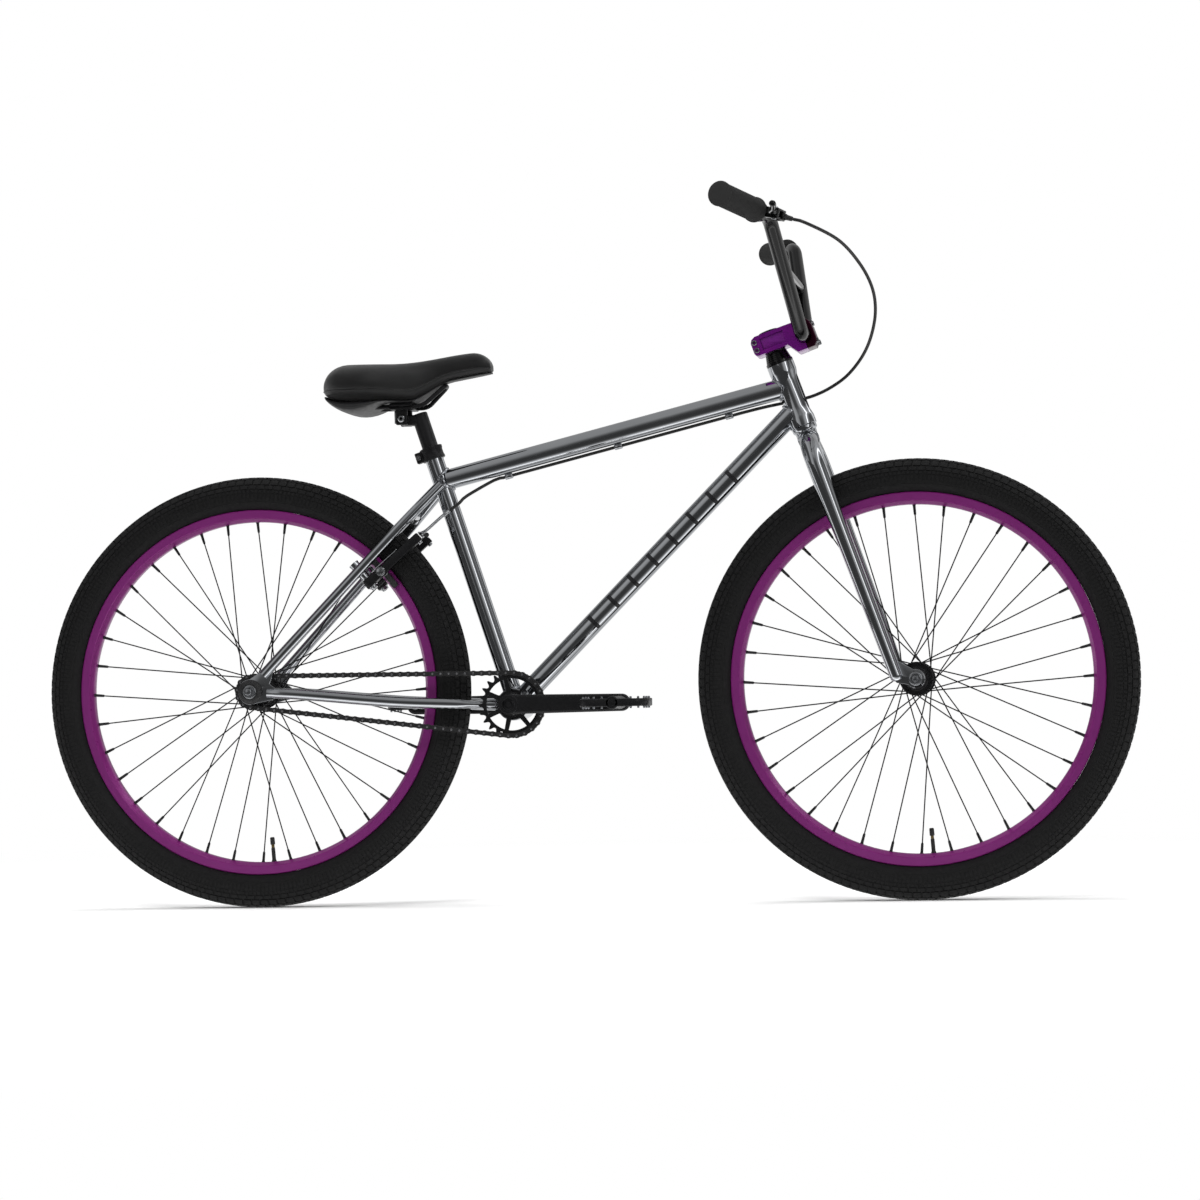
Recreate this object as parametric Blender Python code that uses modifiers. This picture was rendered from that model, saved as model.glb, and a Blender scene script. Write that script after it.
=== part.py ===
"""26 inch BMX cruiser bicycle, in metres: +X forward, +Y to the rider's left, +Z up.

The origin is on the ground midway between the axles. The drive side is -Y.
"""

from math import atan2, cos, pi, radians, sin, sqrt, tan

import bmesh
import bpy
from mathutils import Matrix, Vector

# Running clearance between pieces that touch or turn in one another.
GAP = 0.0003

# Wheels
WHEELBASE = 1.033
WHEEL_RADIUS = 0.338
TYRE_WIDTH = 0.057
TYRE_STEPS = 32
RIM_OUTER_RADIUS = 0.2855
RIM_INNER_RADIUS = 0.267
RIM_WIDTH = 0.032
SPOKES_PER_SIDE = 18
SPOKE_WIDTH = 0.002
SPOKE_SWEEP = radians(56)
SPOKE_ROLL = radians(7)
HUB_FLANGE_RADIUS = 0.026
HUB_BODY_RADIUS = 0.0165
HUB_FLANGE_OFFSET = 0.031
AXLE_RADIUS = 0.005
FRONT_SPACING = 0.100
REAR_SPACING = 0.110
DROPOUT_THICKNESS = 0.005
DROPOUT_SPREAD = REAR_SPACING / 2 + DROPOUT_THICKNESS / 2
AXLE_NUT_RADIUS = 0.0095
AXLE_NUT_HEIGHT = 0.008
HUB_GUARD_RADIUS = 0.019
HUB_GUARD_THICKNESS = 0.006

# Frame
BB_FORWARD = 0.410
BB_HEIGHT = 0.311
BB_SHELL_RADIUS = 0.025
BB_SHELL_WIDTH = 0.073
BB_BORE_RADIUS = 0.0206
BEARING_FLANGE = 0.0035
SEAT_TUBE_ANGLE = radians(72.2)
SEAT_TUBE_LENGTH = 0.424
SEAT_TUBE_RADIUS = 0.0143
SEATPOST_RADIUS = 0.0127
TOP_TUBE_SEAT_STATION = 0.368
MAIN_TUBE_RADIUS = 0.0159
DOWN_TUBE_HEAD_STATION = 0.030
TOP_TUBE_HEAD_STATION = 0.0655
HEAD_ANGLE = radians(70.5)
FORK_OFFSET = 0.026
HEAD_TUBE_START = 0.425
HEAD_TUBE_LENGTH = 0.103
HEAD_TUBE_END_RADIUS = 0.02125
HEAD_TUBE_RADIUS = 0.018
HEADSET_POCKET_RADIUS = 0.019
HEADSET_POCKET_DEPTH = 0.008
CHAINSTAY_RADIUS = 0.0095
SEATSTAY_RADIUS = 0.008
DROPOUT_RADIUS = 0.020

# Fork and steering
STEERER_RADIUS = 0.0143
FORK_LEG_SPREAD = 0.0525
FORK_LEG_TIP_RADIUS = 0.010
FORK_CROWN_STATION = 0.398
HEADSET_CAP_HEIGHT = 0.0207
STEM_REACH = 0.050
STEM_HEIGHT = 0.030
STEM_WIDTH = 0.050
STEM_START = HEAD_TUBE_START + HEAD_TUBE_LENGTH + HEADSET_CAP_HEIGHT + 2 * GAP
STEERER_TOP = STEM_START + STEM_HEIGHT - 0.001
BAR_RADIUS = 0.0111
BAR_CLAMP_STATION = 0.554
BAR_HALF_WIDTH = 0.362
BRACE_RADIUS = 0.008
BRACE_SHARE = 0.56
GRIP_RADIUS = 0.0176
GRIP_LENGTH = 0.120
GRIP_CAP = 0.0025
LEVER_LENGTH = 0.092
LEVER_DROP = radians(13)
LEVER_PIVOT_AHEAD = 0.030
LEVER_THICKNESS = 0.009
LEVER_PIN_RADIUS = 0.0025

# Drive
CHAIN_PITCH = 0.0127
SPROCKET_TEETH = 24
COG_TEETH = 12
CHAIN_LINE = 0.045
CHAIN_PINS = 9
CHAIN_PIN_START = 0.031
COG_BOSS_START = 0.0385
COG_BOSS_END = 0.0495
TOOTH_THICKNESS = 0.0032
CHAIN_PLATE_HEIGHT = 0.0085
CHAIN_PLATE_THICKNESS = 0.0017
CRANK_LENGTH = 0.175
CRANK_THICKNESS = 0.015
CRANK_PLANE = 0.071
CRANK_WIDTH = 0.027
SPINDLE_RADIUS = 0.0095
PEDAL_LENGTH = 0.102
PEDAL_WIDTH = 0.094
PEDAL_THICKNESS = 0.018
PEDAL_SPINDLE_RADIUS = 0.0065
PEDAL_GAP = 0.006

# Rear brake, placed on radial lines from the rear axle
BRAKE_ANGLE = radians(41.5)
BRAKE_PIVOT_RADIUS = 0.252
BRAKE_ARM_LENGTH = 0.106
BRAKE_PIVOT_SPREAD = 0.040
BRAKE_PIN_RADIUS = 0.004
BRAKE_ARM_DEPTH = 0.014
PAD_TRACK_RADIUS = 0.2765
PAD_CLEARANCE = 0.0017

# Seat
SEAT_CLAMP_HEIGHT = 0.020
SEATPOST_TOP = 0.480
SADDLE_LENGTH = 0.260
SADDLE_WIDTH = 0.176
SADDLE_NOSE_WIDTH = 0.046
RAIL_RADIUS = 0.0035
RAIL_SPREAD = 0.022
CLAMP_BOLT_RADIUS = 0.004

# Cable
CABLE_RADIUS = 0.0025
GUIDE_WALL = 0.0017
GUIDE_STATIONS = (0.105, 0.283, 0.462)
# The bar's cable, stepping away from where it leaves the head tube.
CABLE_STEPS = (
    (0.027, 0.007, 0.007), (0.055, 0.005, 0.019), (0.083, -0.006, 0.037),
    (0.108, -0.026, 0.064), (0.124, -0.052, 0.093), (0.133, -0.085, 0.126),
    (0.131, -0.119, 0.158), (0.116, -0.160, 0.190), (0.088, -0.205, 0.221),
)

X, Y, Z = Vector((1, 0, 0)), Vector((0, 1, 0)), Vector((0, 0, 1))
RIGHT, LEFT = -1, 1
SIDES = (("right", RIGHT), ("left", LEFT))

REAR_AXLE = Vector((-WHEELBASE / 2, 0, WHEEL_RADIUS))
FRONT_AXLE = Vector((WHEELBASE / 2, 0, WHEEL_RADIUS))
BB = REAR_AXLE + X * BB_FORWARD + Z * (BB_HEIGHT - WHEEL_RADIUS)
SEAT_UP = Vector((-cos(SEAT_TUBE_ANGLE), 0, sin(SEAT_TUBE_ANGLE)))
STEER_UP = Vector((-cos(HEAD_ANGLE), 0, sin(HEAD_ANGLE)))
STEER_FORWARD = Vector((sin(HEAD_ANGLE), 0, cos(HEAD_ANGLE)))
STEER_FOOT = FRONT_AXLE - STEER_FORWARD * FORK_OFFSET
BRAKE_OUT = Vector((cos(BRAKE_ANGLE), 0, sin(BRAKE_ANGLE)))
BRAKE_AHEAD = Vector((sin(BRAKE_ANGLE), 0, -cos(BRAKE_ANGLE)))

# Saddle, placed from the clamp's hinge line
CLAMP_AXIS = BB + SEAT_UP * SEATPOST_TOP + Vector((-0.0238, 0, -0.0083))
RAIL_HEIGHT = CLAMP_AXIS.z + 0.019
SADDLE_REAR = CLAMP_AXIS.x - 0.118
SADDLE_CROWN = CLAMP_AXIS.z + 0.086
SADDLE_EDGE = CLAMP_AXIS.z + 0.028

SPROCKET_RADIUS = CHAIN_PITCH / (2 * sin(pi / SPROCKET_TEETH))
COG_RADIUS = CHAIN_PITCH / (2 * sin(pi / COG_TEETH))

PARTS = None
CUTTERS = None
COLOURS = {
    "chrome": ((0.80, 0.80, 0.82), 0.08, 1.0),
    "purple": ((0.30, 0.01, 0.22), 0.25, 0.9),
    "black_paint": ((0.012, 0.012, 0.013), 0.22, 0.0),
    "black_metal": ((0.020, 0.020, 0.022), 0.35, 0.8),
    "rubber": ((0.018, 0.018, 0.019), 0.75, 0.0),
    "plastic": ((0.022, 0.022, 0.024), 0.45, 0.0),
    "vinyl": ((0.020, 0.019, 0.019), 0.50, 0.0),
    "steel": ((0.55, 0.55, 0.56), 0.25, 1.0),
    "chain_steel": ((0.16, 0.155, 0.15), 0.35, 1.0),
}


# ---------------------------------------------------------------- helpers


def clear_scene():
    global PARTS, CUTTERS
    for obj in list(bpy.data.objects):
        bpy.data.objects.remove(obj, do_unlink=True)
    PARTS = bpy.data.collections.new("bmx_bike")
    CUTTERS = bpy.data.collections.new("cutters")
    for collection in (PARTS, CUTTERS):
        bpy.context.scene.collection.children.link(collection)


def material(name):
    found = bpy.data.materials.get(name)
    if found:
        return found
    colour, roughness, metallic = COLOURS[name]
    made = bpy.data.materials.new(name)
    made.use_nodes = True
    shader = made.node_tree.nodes["Principled BSDF"]
    shader.inputs["Base Color"].default_value = (*colour, 1)
    shader.inputs["Roughness"].default_value = roughness
    shader.inputs["Metallic"].default_value = metallic
    return made


def add(name, data, finish=None):
    """An object of the assembly, or a hidden helper where there is no finish."""
    obj = bpy.data.objects.new(name, data)
    (PARTS if finish else CUTTERS).objects.link(obj)
    if finish:
        data.materials.append(material(finish))
    else:
        obj.hide_render = True
        obj.display_type = "WIRE"
    return obj


def turn_to(axis):
    return Z.rotation_difference(axis).to_matrix().to_4x4()


def round_off(obj, angle=35):
    obj.data.shade_smooth()
    obj.data.set_sharp_from_angle(angle=radians(angle))
    return obj


def mesh_of(name, build, finish=None):
    mesh = bpy.data.meshes.new(name)
    bm = bmesh.new()
    build(bm)
    bm.to_mesh(mesh)
    bm.free()
    return round_off(add(name, mesh, finish))


def rod(name, start, end, radius, finish=None, sides=20, end_radius=None):
    """A cylinder or cone from start to end."""
    span = end - start

    def build(bm):
        bmesh.ops.create_cone(
            bm,
            cap_ends=True,
            segments=sides,
            radius1=radius,
            radius2=radius if end_radius is None else end_radius,
            depth=span.length,
        )

    obj = mesh_of(name, build, finish)
    obj.matrix_world = Matrix.Translation((start + end) / 2) @ turn_to(span.normalized())
    return obj


def box(name, centre, size, finish=None, turn=None):
    def build(bm):
        bmesh.ops.create_cube(bm, size=1, matrix=Matrix.Diagonal((*size, 1)))

    obj = mesh_of(name, build, finish)
    obj.matrix_world = Matrix.Translation(centre) @ (turn or Matrix()).to_4x4()
    return obj


def turned(name, profile, place, axis, finish=None, steps=24, closed=True, phase=0.0):
    """A turned shape: (radius, height) points, the outer side running down."""

    def build(bm):
        verts = [bm.verts.new((radius, 0, height)) for radius, height in profile]
        pairs = list(zip(verts, verts[1:]))
        if closed:
            pairs.append((verts[-1], verts[0]))
        for pair in pairs:
            bm.edges.new(pair)

    obj = mesh_of(name, build, finish)
    screw = obj.modifiers.new("Turn", "SCREW")
    screw.steps = screw.render_steps = steps
    screw.use_merge_vertices = True
    screw.merge_threshold = 0.00001
    screw.use_smooth_shade = True
    spin = Matrix.Rotation(phase, 4, "Z")
    obj.matrix_world = Matrix.Translation(place) @ turn_to(axis) @ spin
    return obj


def ring(name, place, axis, outer, inner, height, finish=None, steps=24):
    """A plain ring that starts at place and is as tall as height along axis."""
    profile = [(outer, height), (outer, 0), (inner, 0), (inner, height)]
    return turned(name, profile, place, axis, finish, steps)


def rounded_path(corners, radii, arc_steps=5):
    """The corner points with each inner corner replaced by an arc of its radius."""
    corners = [Vector(corner) for corner in corners]
    path = [corners[0]]
    for before, corner, after, radius in zip(corners, corners[1:], corners[2:], radii):
        back = (before - corner).normalized()
        ahead = (after - corner).normalized()
        half = back.angle(ahead) / 2
        reach = radius / tan(half)
        middle = corner + (back + ahead).normalized() * (radius / sin(half))
        first = corner + back * reach - middle
        last = corner + ahead * reach - middle
        sweep = first.angle(last)
        normal = first.cross(last).normalized()
        for step in range(arc_steps + 1):
            turn = Matrix.Rotation(sweep * step / arc_steps, 3, normal)
            path.append(middle + turn @ first)
    path.append(corners[-1])
    return path


def smooth_path(points, spacing):
    """Points on a smooth curve through the given ones, about spacing apart."""
    points = [Vector(point) for point in points]
    ends = [2 * points[0] - points[1]] + points + [2 * points[-1] - points[-2]]
    path = []
    for a, b, c, d in zip(ends, ends[1:], ends[2:], ends[3:]):
        steps = max(1, round((c - b).length / spacing))
        for step in range(steps):
            t = step / steps
            path.append(
                0.5
                * (
                    2 * b
                    + (c - a) * t
                    + (2 * a - 5 * b + 4 * c - d) * t * t
                    + (3 * b - a - 3 * c + d) * t * t * t
                )
            )
    path.append(points[-1])
    return path


def tube(name, path, radius, finish=None, resolution=4, end_radius=None):
    """A round rod along a path, tapering to end_radius, with its caps welded."""
    curve = bpy.data.curves.new(name + "_curve", "CURVE")
    curve.dimensions = "3D"
    curve.bevel_depth = radius
    curve.bevel_resolution = resolution
    curve.use_fill_caps = True
    spline = curve.splines.new("POLY")
    spline.points.add(len(path) - 1)
    lengths = [0.0]
    for before, after in zip(path, path[1:]):
        lengths.append(lengths[-1] + (after - before).length)
    taper = 0 if end_radius is None else 1 - end_radius / radius
    for point, where, length in zip(spline.points, path, lengths):
        point.co = (*where, 1)
        point.radius = 1 - taper * length / lengths[-1]
    guide = bpy.data.objects.new(name + "_curve", curve)
    CUTTERS.objects.link(guide)
    return to_mesh(guide, name, finish)


def outline_curve(name, loops, thickness):
    curve = bpy.data.curves.new(name + "_curve", "CURVE")
    curve.dimensions = "2D"
    curve.fill_mode = "BOTH"
    curve.extrude = thickness / 2
    for loop in loops:
        spline = curve.splines.new("POLY")
        spline.points.add(len(loop) - 1)
        for point, (across, up) in zip(spline.points, loop):
            point.co = (across, up, 0, 1)
        spline.use_cyclic_u = True
    guide = bpy.data.objects.new(name + "_curve", curve)
    CUTTERS.objects.link(guide)
    return guide


def plate(name, loops, thickness, place, across, up, finish=None):
    """A flat outline in the plane of across and up, as thick on both sides of it."""
    guide = outline_curve(name, loops, thickness)
    across, up = across.normalized(), up.normalized()
    turn = Matrix((across, up, across.cross(up))).transposed()
    guide.matrix_world = Matrix.Translation(place) @ turn.to_4x4()
    return to_mesh(guide, name, finish)


def to_mesh(guide, name, finish):
    bpy.context.view_layer.update()
    graph = bpy.context.evaluated_depsgraph_get()
    mesh = bpy.data.meshes.new_from_object(guide.evaluated_get(graph))
    mesh.name = name
    mesh.materials.clear()
    bm = bmesh.new()
    bm.from_mesh(mesh)
    bmesh.ops.remove_doubles(bm, verts=bm.verts, dist=0.000002)
    bmesh.ops.dissolve_degenerate(bm, edges=bm.edges, dist=0.000001)
    bmesh.ops.recalc_face_normals(bm, faces=bm.faces)
    bm.to_mesh(mesh)
    bm.free()
    obj = add(name, mesh, finish)
    obj.matrix_world = guide.matrix_world.copy()
    bpy.data.objects.remove(guide, do_unlink=True)
    return round_off(obj)


def boolean(target, tool, operation):
    change = target.modifiers.new(operation.title(), "BOOLEAN")
    change.operation = operation
    change.object = tool


def cut(target, *tools):
    for tool in tools:
        boolean(target, tool, "DIFFERENCE")


def join(target, *tools):
    for tool in tools:
        boolean(target, tool, "UNION")


def grown(obj, by=GAP):
    """A hidden copy of a finished piece with its surface moved out by the gap."""
    bpy.context.view_layer.update()
    graph = bpy.context.evaluated_depsgraph_get()
    mesh = bpy.data.meshes.new_from_object(obj.evaluated_get(graph))
    mesh.materials.clear()
    bm = bmesh.new()
    bm.from_mesh(mesh)
    bm.normal_update()
    moves = [vert.normal * vert.calc_shell_factor() * by for vert in bm.verts]
    for vert, move in zip(bm.verts, moves):
        vert.co += move
    bm.to_mesh(mesh)
    bm.free()
    copy = add(obj.name + "_grown", mesh)
    copy.matrix_world = obj.matrix_world.copy()
    return copy


def circle(centre, radius, steps, start=0.0, sweep=2 * pi):
    whole = abs(sweep - 2 * pi) < 1e-9
    count = steps if whole else steps + 1
    angles = [start + sweep * step / steps for step in range(count)]
    return [(centre[0] + radius * cos(a), centre[1] + radius * sin(a)) for a in angles]


def hull_of_circles(first, first_radius, second, second_radius, steps=10):
    """The outline of a belt round two circles."""
    way = Vector(second) - Vector(first)
    heading = atan2(way.y, way.x)
    lean = (first_radius - second_radius) / way.length
    flare = atan2(lean, sqrt(1 - lean * lean))
    side = pi / 2 - flare
    far = circle(second, second_radius, steps, heading - side, 2 * side)
    near = circle(first, first_radius, steps, heading + side, 2 * (pi - side))
    return far + near


def steer(station, forward=0.0, across=0.0):
    """A point by its height along the steering axis and its distance ahead of it."""
    return STEER_FOOT + STEER_UP * station + STEER_FORWARD * forward + Y * across


def seat(station, across=0.0):
    return BB + SEAT_UP * station + Y * across


# ---------------------------------------------------------------- frame


def frame_tubes():
    wide = BB_SHELL_WIDTH / 2
    ring("bottom_bracket_shell", BB - Y * wide, Y, BB_SHELL_RADIUS, BB_BORE_RADIUS,
         BB_SHELL_WIDTH, "chrome", 28)
    shell = rod("shell_space", BB - Y * 0.1, BB + Y * 0.1, BB_SHELL_RADIUS + GAP * 2, sides=28)
    seat_space = rod("seat_tube_space", seat(0), seat(SEAT_TUBE_LENGTH + 0.05),
                     SEAT_TUBE_RADIUS + GAP * 2, sides=24)
    seat_tube = ring("seat_tube", seat(0.002), SEAT_UP, SEAT_TUBE_RADIUS,
                     SEATPOST_RADIUS + GAP, SEAT_TUBE_LENGTH - 0.002, "chrome", 24)
    cut(seat_tube, shell)

    waist = HEAD_TUBE_LENGTH / 2
    flare = 0.013
    top = HEAD_TUBE_LENGTH
    pocket = HEADSET_POCKET_DEPTH
    bore = STEERER_RADIUS + 0.001
    head_profile = [
        (HEAD_TUBE_END_RADIUS, top), (HEAD_TUBE_END_RADIUS, top - flare),
        (HEAD_TUBE_RADIUS, top - flare - 0.016), (HEAD_TUBE_RADIUS, waist),
        (HEAD_TUBE_RADIUS, flare + 0.016), (HEAD_TUBE_END_RADIUS, flare),
        (HEAD_TUBE_END_RADIUS, 0), (HEADSET_POCKET_RADIUS, 0),
        (HEADSET_POCKET_RADIUS, pocket), (bore, pocket),
        (bore, top - pocket), (HEADSET_POCKET_RADIUS, top - pocket),
        (HEADSET_POCKET_RADIUS, top),
    ]
    base = steer(HEAD_TUBE_START)
    turned("head_tube", head_profile, base, STEER_UP, "chrome", 24)
    outer = [(r + GAP * 2, z) for r, z in head_profile[:7]]
    head_space = turned("head_space", [(0, top)] + outer + [(0, 0)], base, STEER_UP,
                        steps=24, closed=False)
    for name, start in (("lower", GAP), ("upper", top - pocket + GAP)):
        ring("headset_bearing_" + name, base + STEER_UP * start, STEER_UP,
             HEADSET_POCKET_RADIUS - GAP, STEERER_RADIUS + GAP, pocket - 2 * GAP, "steel")

    start = seat(TOP_TUBE_SEAT_STATION)
    end = steer(HEAD_TUBE_START + TOP_TUBE_HEAD_STATION)
    top_tube = rod("top_tube", start, end, MAIN_TUBE_RADIUS, "chrome", 24)
    top_space = rod("top_tube_space", start, end, MAIN_TUBE_RADIUS + GAP * 2, sides=24)
    along = (end - start).normalized()
    under = Y.cross(along).normalized()
    cable_drop = MAIN_TUBE_RADIUS + CABLE_RADIUS + GAP + GUIDE_WALL * 0.6
    for index, station in enumerate(GUIDE_STATIONS):
        centre = start + along * station + under * cable_drop
        collar = rod(f"guide_{index}", centre - along * 0.006, centre + along * 0.006,
                     CABLE_RADIUS + GAP + GUIDE_WALL, sides=12)
        join(top_tube, collar)
    for index, station in enumerate(GUIDE_STATIONS):
        centre = start + along * station + under * cable_drop
        bore = rod(f"guide_bore_{index}", centre - along * 0.02, centre + along * 0.02,
                   CABLE_RADIUS + GAP * 1.5, sides=10)
        cut(top_tube, bore)
    cut(top_tube, seat_space, head_space)

    low_end = BB + (steer(HEAD_TUBE_START + DOWN_TUBE_HEAD_STATION) - BB).normalized() * 0.01
    down_tube = rod("down_tube", low_end, steer(HEAD_TUBE_START + DOWN_TUBE_HEAD_STATION),
                    MAIN_TUBE_RADIUS, "chrome", 24)
    cut(down_tube, shell, head_space, top_space, seat_space)
    return shell, seat_space, start, along, under, cable_drop


def dropout_loop():
    """The plate behind and round the axle, with a slot open to the rear."""
    slot = AXLE_RADIUS + GAP
    radius = DROPOUT_RADIUS
    mouth = pi - atan2(slot, sqrt(radius * radius - slot * slot))
    back = circle((0, 0), radius, 8, mouth - 1.25, 1.25)
    back_low = circle((0, 0), radius, 8, -mouth, 1.25)
    inner = circle((0, 0), slot, 8, -pi / 2, pi)
    lower = [(0.034, -0.013), (0.040, -0.008), (0.040, 0.004)]
    upper = [(0.030, 0.012), (0.036, 0.030), (0.028, 0.038)]
    return back_low + lower + upper + back + inner[::-1]


def rear_triangle(shell, seat_space):
    reach = BRAKE_PIVOT_RADIUS
    pivot = REAR_AXLE + BRAKE_OUT * reach
    for side_name, side in SIDES:
        place = REAR_AXLE + Y * side * DROPOUT_SPREAD
        dropout = plate("dropout_" + side_name, [dropout_loop()], DROPOUT_THICKNESS,
                        place, X, Z)

        route = [
            BB + Vector((-0.016, side * 0.029, 0.000)),
            BB + Vector((-0.060, side * 0.0355, 0.001)),
            BB + Vector((-0.100, side * 0.0420, 0.003)),
            BB + Vector((-0.190, side * 0.0485, 0.008)),
            REAR_AXLE + Vector((0.075, side * (DROPOUT_SPREAD - 0.001), -0.005)),
            REAR_AXLE + Vector((0.026, side * DROPOUT_SPREAD, -0.002)),
        ]
        chainstay = tube("chainstay_" + side_name, smooth_path(route, 0.045),
                         CHAINSTAY_RADIUS, "chrome", 3, CHAINSTAY_RADIUS * 0.86)
        cut(chainstay, shell)
        crimp = turned(
            "crimp_" + side_name,
            [(0, 0.02), (SPROCKET_RADIUS + 0.010, 0.02), (SPROCKET_RADIUS + 0.006, 0), (0, 0)],
            BB + Y * side * (CHAIN_LINE - TOOTH_THICKNESS / 2 - 0.0012), Y * side,
            steps=28, closed=False)
        cut(chainstay, crimp)
        join(chainstay, dropout)

        foot = REAR_AXLE + Vector((0.021, side * 0.0595, 0.026))
        cluster = seat(TOP_TUBE_SEAT_STATION - 0.006, side * (SEAT_TUBE_RADIUS + 0.0035))
        line = cluster - foot
        slope = Vector((line.x, 0, line.z))
        stay_route = [
            foot,
            foot + slope * 0.10 + Y * side * -0.001,
            foot + slope * 0.40 + Y * side * -0.0085,
            foot + slope * 0.68 + Y * side * -0.0165,
            foot + slope * 0.86 + Y * side * -0.0280,
            cluster,
        ]
        seatstay = tube("seatstay_" + side_name, smooth_path(stay_route, 0.05),
                        SEATSTAY_RADIUS, "chrome", 3)
        cut(seatstay, seat_space, grown(dropout))
        boss_back = pivot + Y * side * BRAKE_PIVOT_SPREAD - BRAKE_AHEAD * 0.039
        boss_face = boss_back + BRAKE_AHEAD * (0.039 - BRAKE_ARM_DEPTH / 2 - GAP)
        pin_end = boss_back + BRAKE_AHEAD * (0.039 + BRAKE_ARM_DEPTH / 2 + GAP)
        join(
            seatstay,
            rod("boss_" + side_name, boss_back, boss_face, 0.0075, sides=16),
            rod("boss_pin_" + side_name, boss_face - BRAKE_AHEAD * 0.002,
                pin_end + BRAKE_AHEAD * 0.002, BRAKE_PIN_RADIUS, sides=16),
            rod("boss_head_" + side_name, pin_end, pin_end + BRAKE_AHEAD * 0.005, 0.0075,
                sides=6),
        )
        if side == LEFT:
            middle = foot + slope * 0.835
            bridge = rod("seatstay_bridge", Vector((middle.x, -0.030, middle.z)),
                         Vector((middle.x, 0.030, middle.z)), 0.006, "chrome", 20)
    for side_name, _ in SIDES:
        cut(bridge, grown(bpy.data.objects["seatstay_" + side_name]))


def seat_clamp():
    height = SEAT_CLAMP_HEIGHT
    base = seat(SEAT_TUBE_LENGTH - height)
    inner = SEAT_TUBE_RADIUS + GAP
    clamp = ring("seat_clamp", base, SEAT_UP, inner + 0.0035, inner, height, "black_paint")
    back = (X - SEAT_UP * X.dot(SEAT_UP)).normalized() * -1
    turn = Matrix((Y, back, SEAT_UP)).transposed()
    centre = base + SEAT_UP * height / 2
    ears = box("clamp_ears", centre + back * (inner + 0.0065), (0.013, 0.011, height * 0.86),
               turn=turn)
    bore = rod("clamp_bore", base - SEAT_UP * 0.02, base + SEAT_UP * 0.05, inner, sides=24)
    slit = box("clamp_slit", centre + back * (inner + 0.006), (0.0016, 0.02, 0.04), turn=turn)
    bolt = rod("clamp_bolt", centre + back * (inner + 0.0072) - Y * 0.010,
               centre + back * (inner + 0.0072) + Y * 0.010, 0.0028, sides=16)
    join(clamp, ears)
    cut(clamp, bore, slit)
    join(clamp, bolt)


# ---------------------------------------------------------------- wheels


def tyre_profile():
    """Down the tread's outer side, then up the beads' inner side."""
    half = TYRE_WIDTH / 2
    band = 0.007
    bead = RIM_OUTER_RADIUS + GAP
    top = WHEEL_RADIUS / cos(pi / TYRE_STEPS)
    outer = [
        (bead, half * 0.46), (bead + 0.010, half * 0.86), (bead + 0.024, half),
        (bead + 0.040, half * 0.83), (top - 0.003, half * 0.52), (top, band),
    ]
    return outer + [(radius, -height) for radius, height in reversed(outer)]


def spoke_set(name, hub_offset, axle, side):
    """Crossed straight spokes that form one lattice where they touch."""

    def half_set(sign, half_name, finish=None):
        def build(bm):
            for index in range(SPOKES_PER_SIDE // 2):
                step = 4 * pi / SPOKES_PER_SIDE
                shift = 0 if sign > 0 else step / 2
                angle = index * step + shift + (pi / SPOKES_PER_SIDE if side > 0 else 0)
                outer = RIM_INNER_RADIUS * cos(pi / TYRE_STEPS) - 2 * GAP
                far = Vector((outer * cos(angle), side * 0.004, outer * sin(angle)))
                root = angle - sign * SPOKE_SWEEP
                inner = HUB_FLANGE_RADIUS + SPOKE_WIDTH / 2
                near = Vector((inner * cos(root), side * hub_offset, inner * sin(root)))
                way = far - near
                turn = turn_to(way.normalized())
                roll = Matrix.Rotation(SPOKE_ROLL * (2 + sign), 4, "Z")
                place = Matrix.Translation((far + near) / 2) @ turn @ roll
                bmesh.ops.create_cone(
                    bm, cap_ends=True, segments=3, radius1=SPOKE_WIDTH / 2,
                    radius2=SPOKE_WIDTH / 2, depth=way.length, matrix=place)

        half = mesh_of(half_name, build, finish)
        half.location = axle
        return half

    leading = half_set(1, name, "black_metal")
    trailing = half_set(-1, name + "_trailing")
    join(leading, trailing)


def wheel(end, axle, hub_half, flange_offsets):
    turned("tyre_" + end, tyre_profile(), axle, Y, "rubber", TYRE_STEPS,
           phase=pi / TYRE_STEPS)
    half = RIM_WIDTH / 2
    well = RIM_OUTER_RADIUS - 0.006
    track = RIM_OUTER_RADIUS - 0.013
    rim_profile = [
        (RIM_OUTER_RADIUS, half), (RIM_OUTER_RADIUS, half * 0.84), (well, half * 0.50),
        (well, -half * 0.50), (RIM_OUTER_RADIUS, -half * 0.84), (RIM_OUTER_RADIUS, -half),
        (track, -half), (RIM_INNER_RADIUS, -half * 0.45), (RIM_INNER_RADIUS, half * 0.45),
        (track, half),
    ]
    turned("rim_" + end, rim_profile, axle, Y, "purple", TYRE_STEPS, phase=pi / TYRE_STEPS)
    low, high = flange_offsets
    thick = 0.0016
    bore = AXLE_RADIUS + GAP
    body = HUB_BODY_RADIUS
    hub_profile = [
        (body * 0.9, hub_half[1]), (body * 0.9, high + thick), (HUB_FLANGE_RADIUS, high + thick),
        (HUB_FLANGE_RADIUS, high - thick), (body, high - thick), (body * 0.86, 0),
        (body, low + thick), (HUB_FLANGE_RADIUS, low + thick), (HUB_FLANGE_RADIUS, low - thick),
        (body * 0.9, low - thick), (body * 0.9, hub_half[0]), (bore, hub_half[0]),
        (bore, hub_half[1]),
    ]
    turned("hub_" + end, hub_profile, axle, Y, "black_metal", 20)
    spoke_set(f"spokes_{end}_right", -low, axle, RIGHT)
    spoke_set(f"spokes_{end}_left", high, axle, LEFT)


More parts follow.
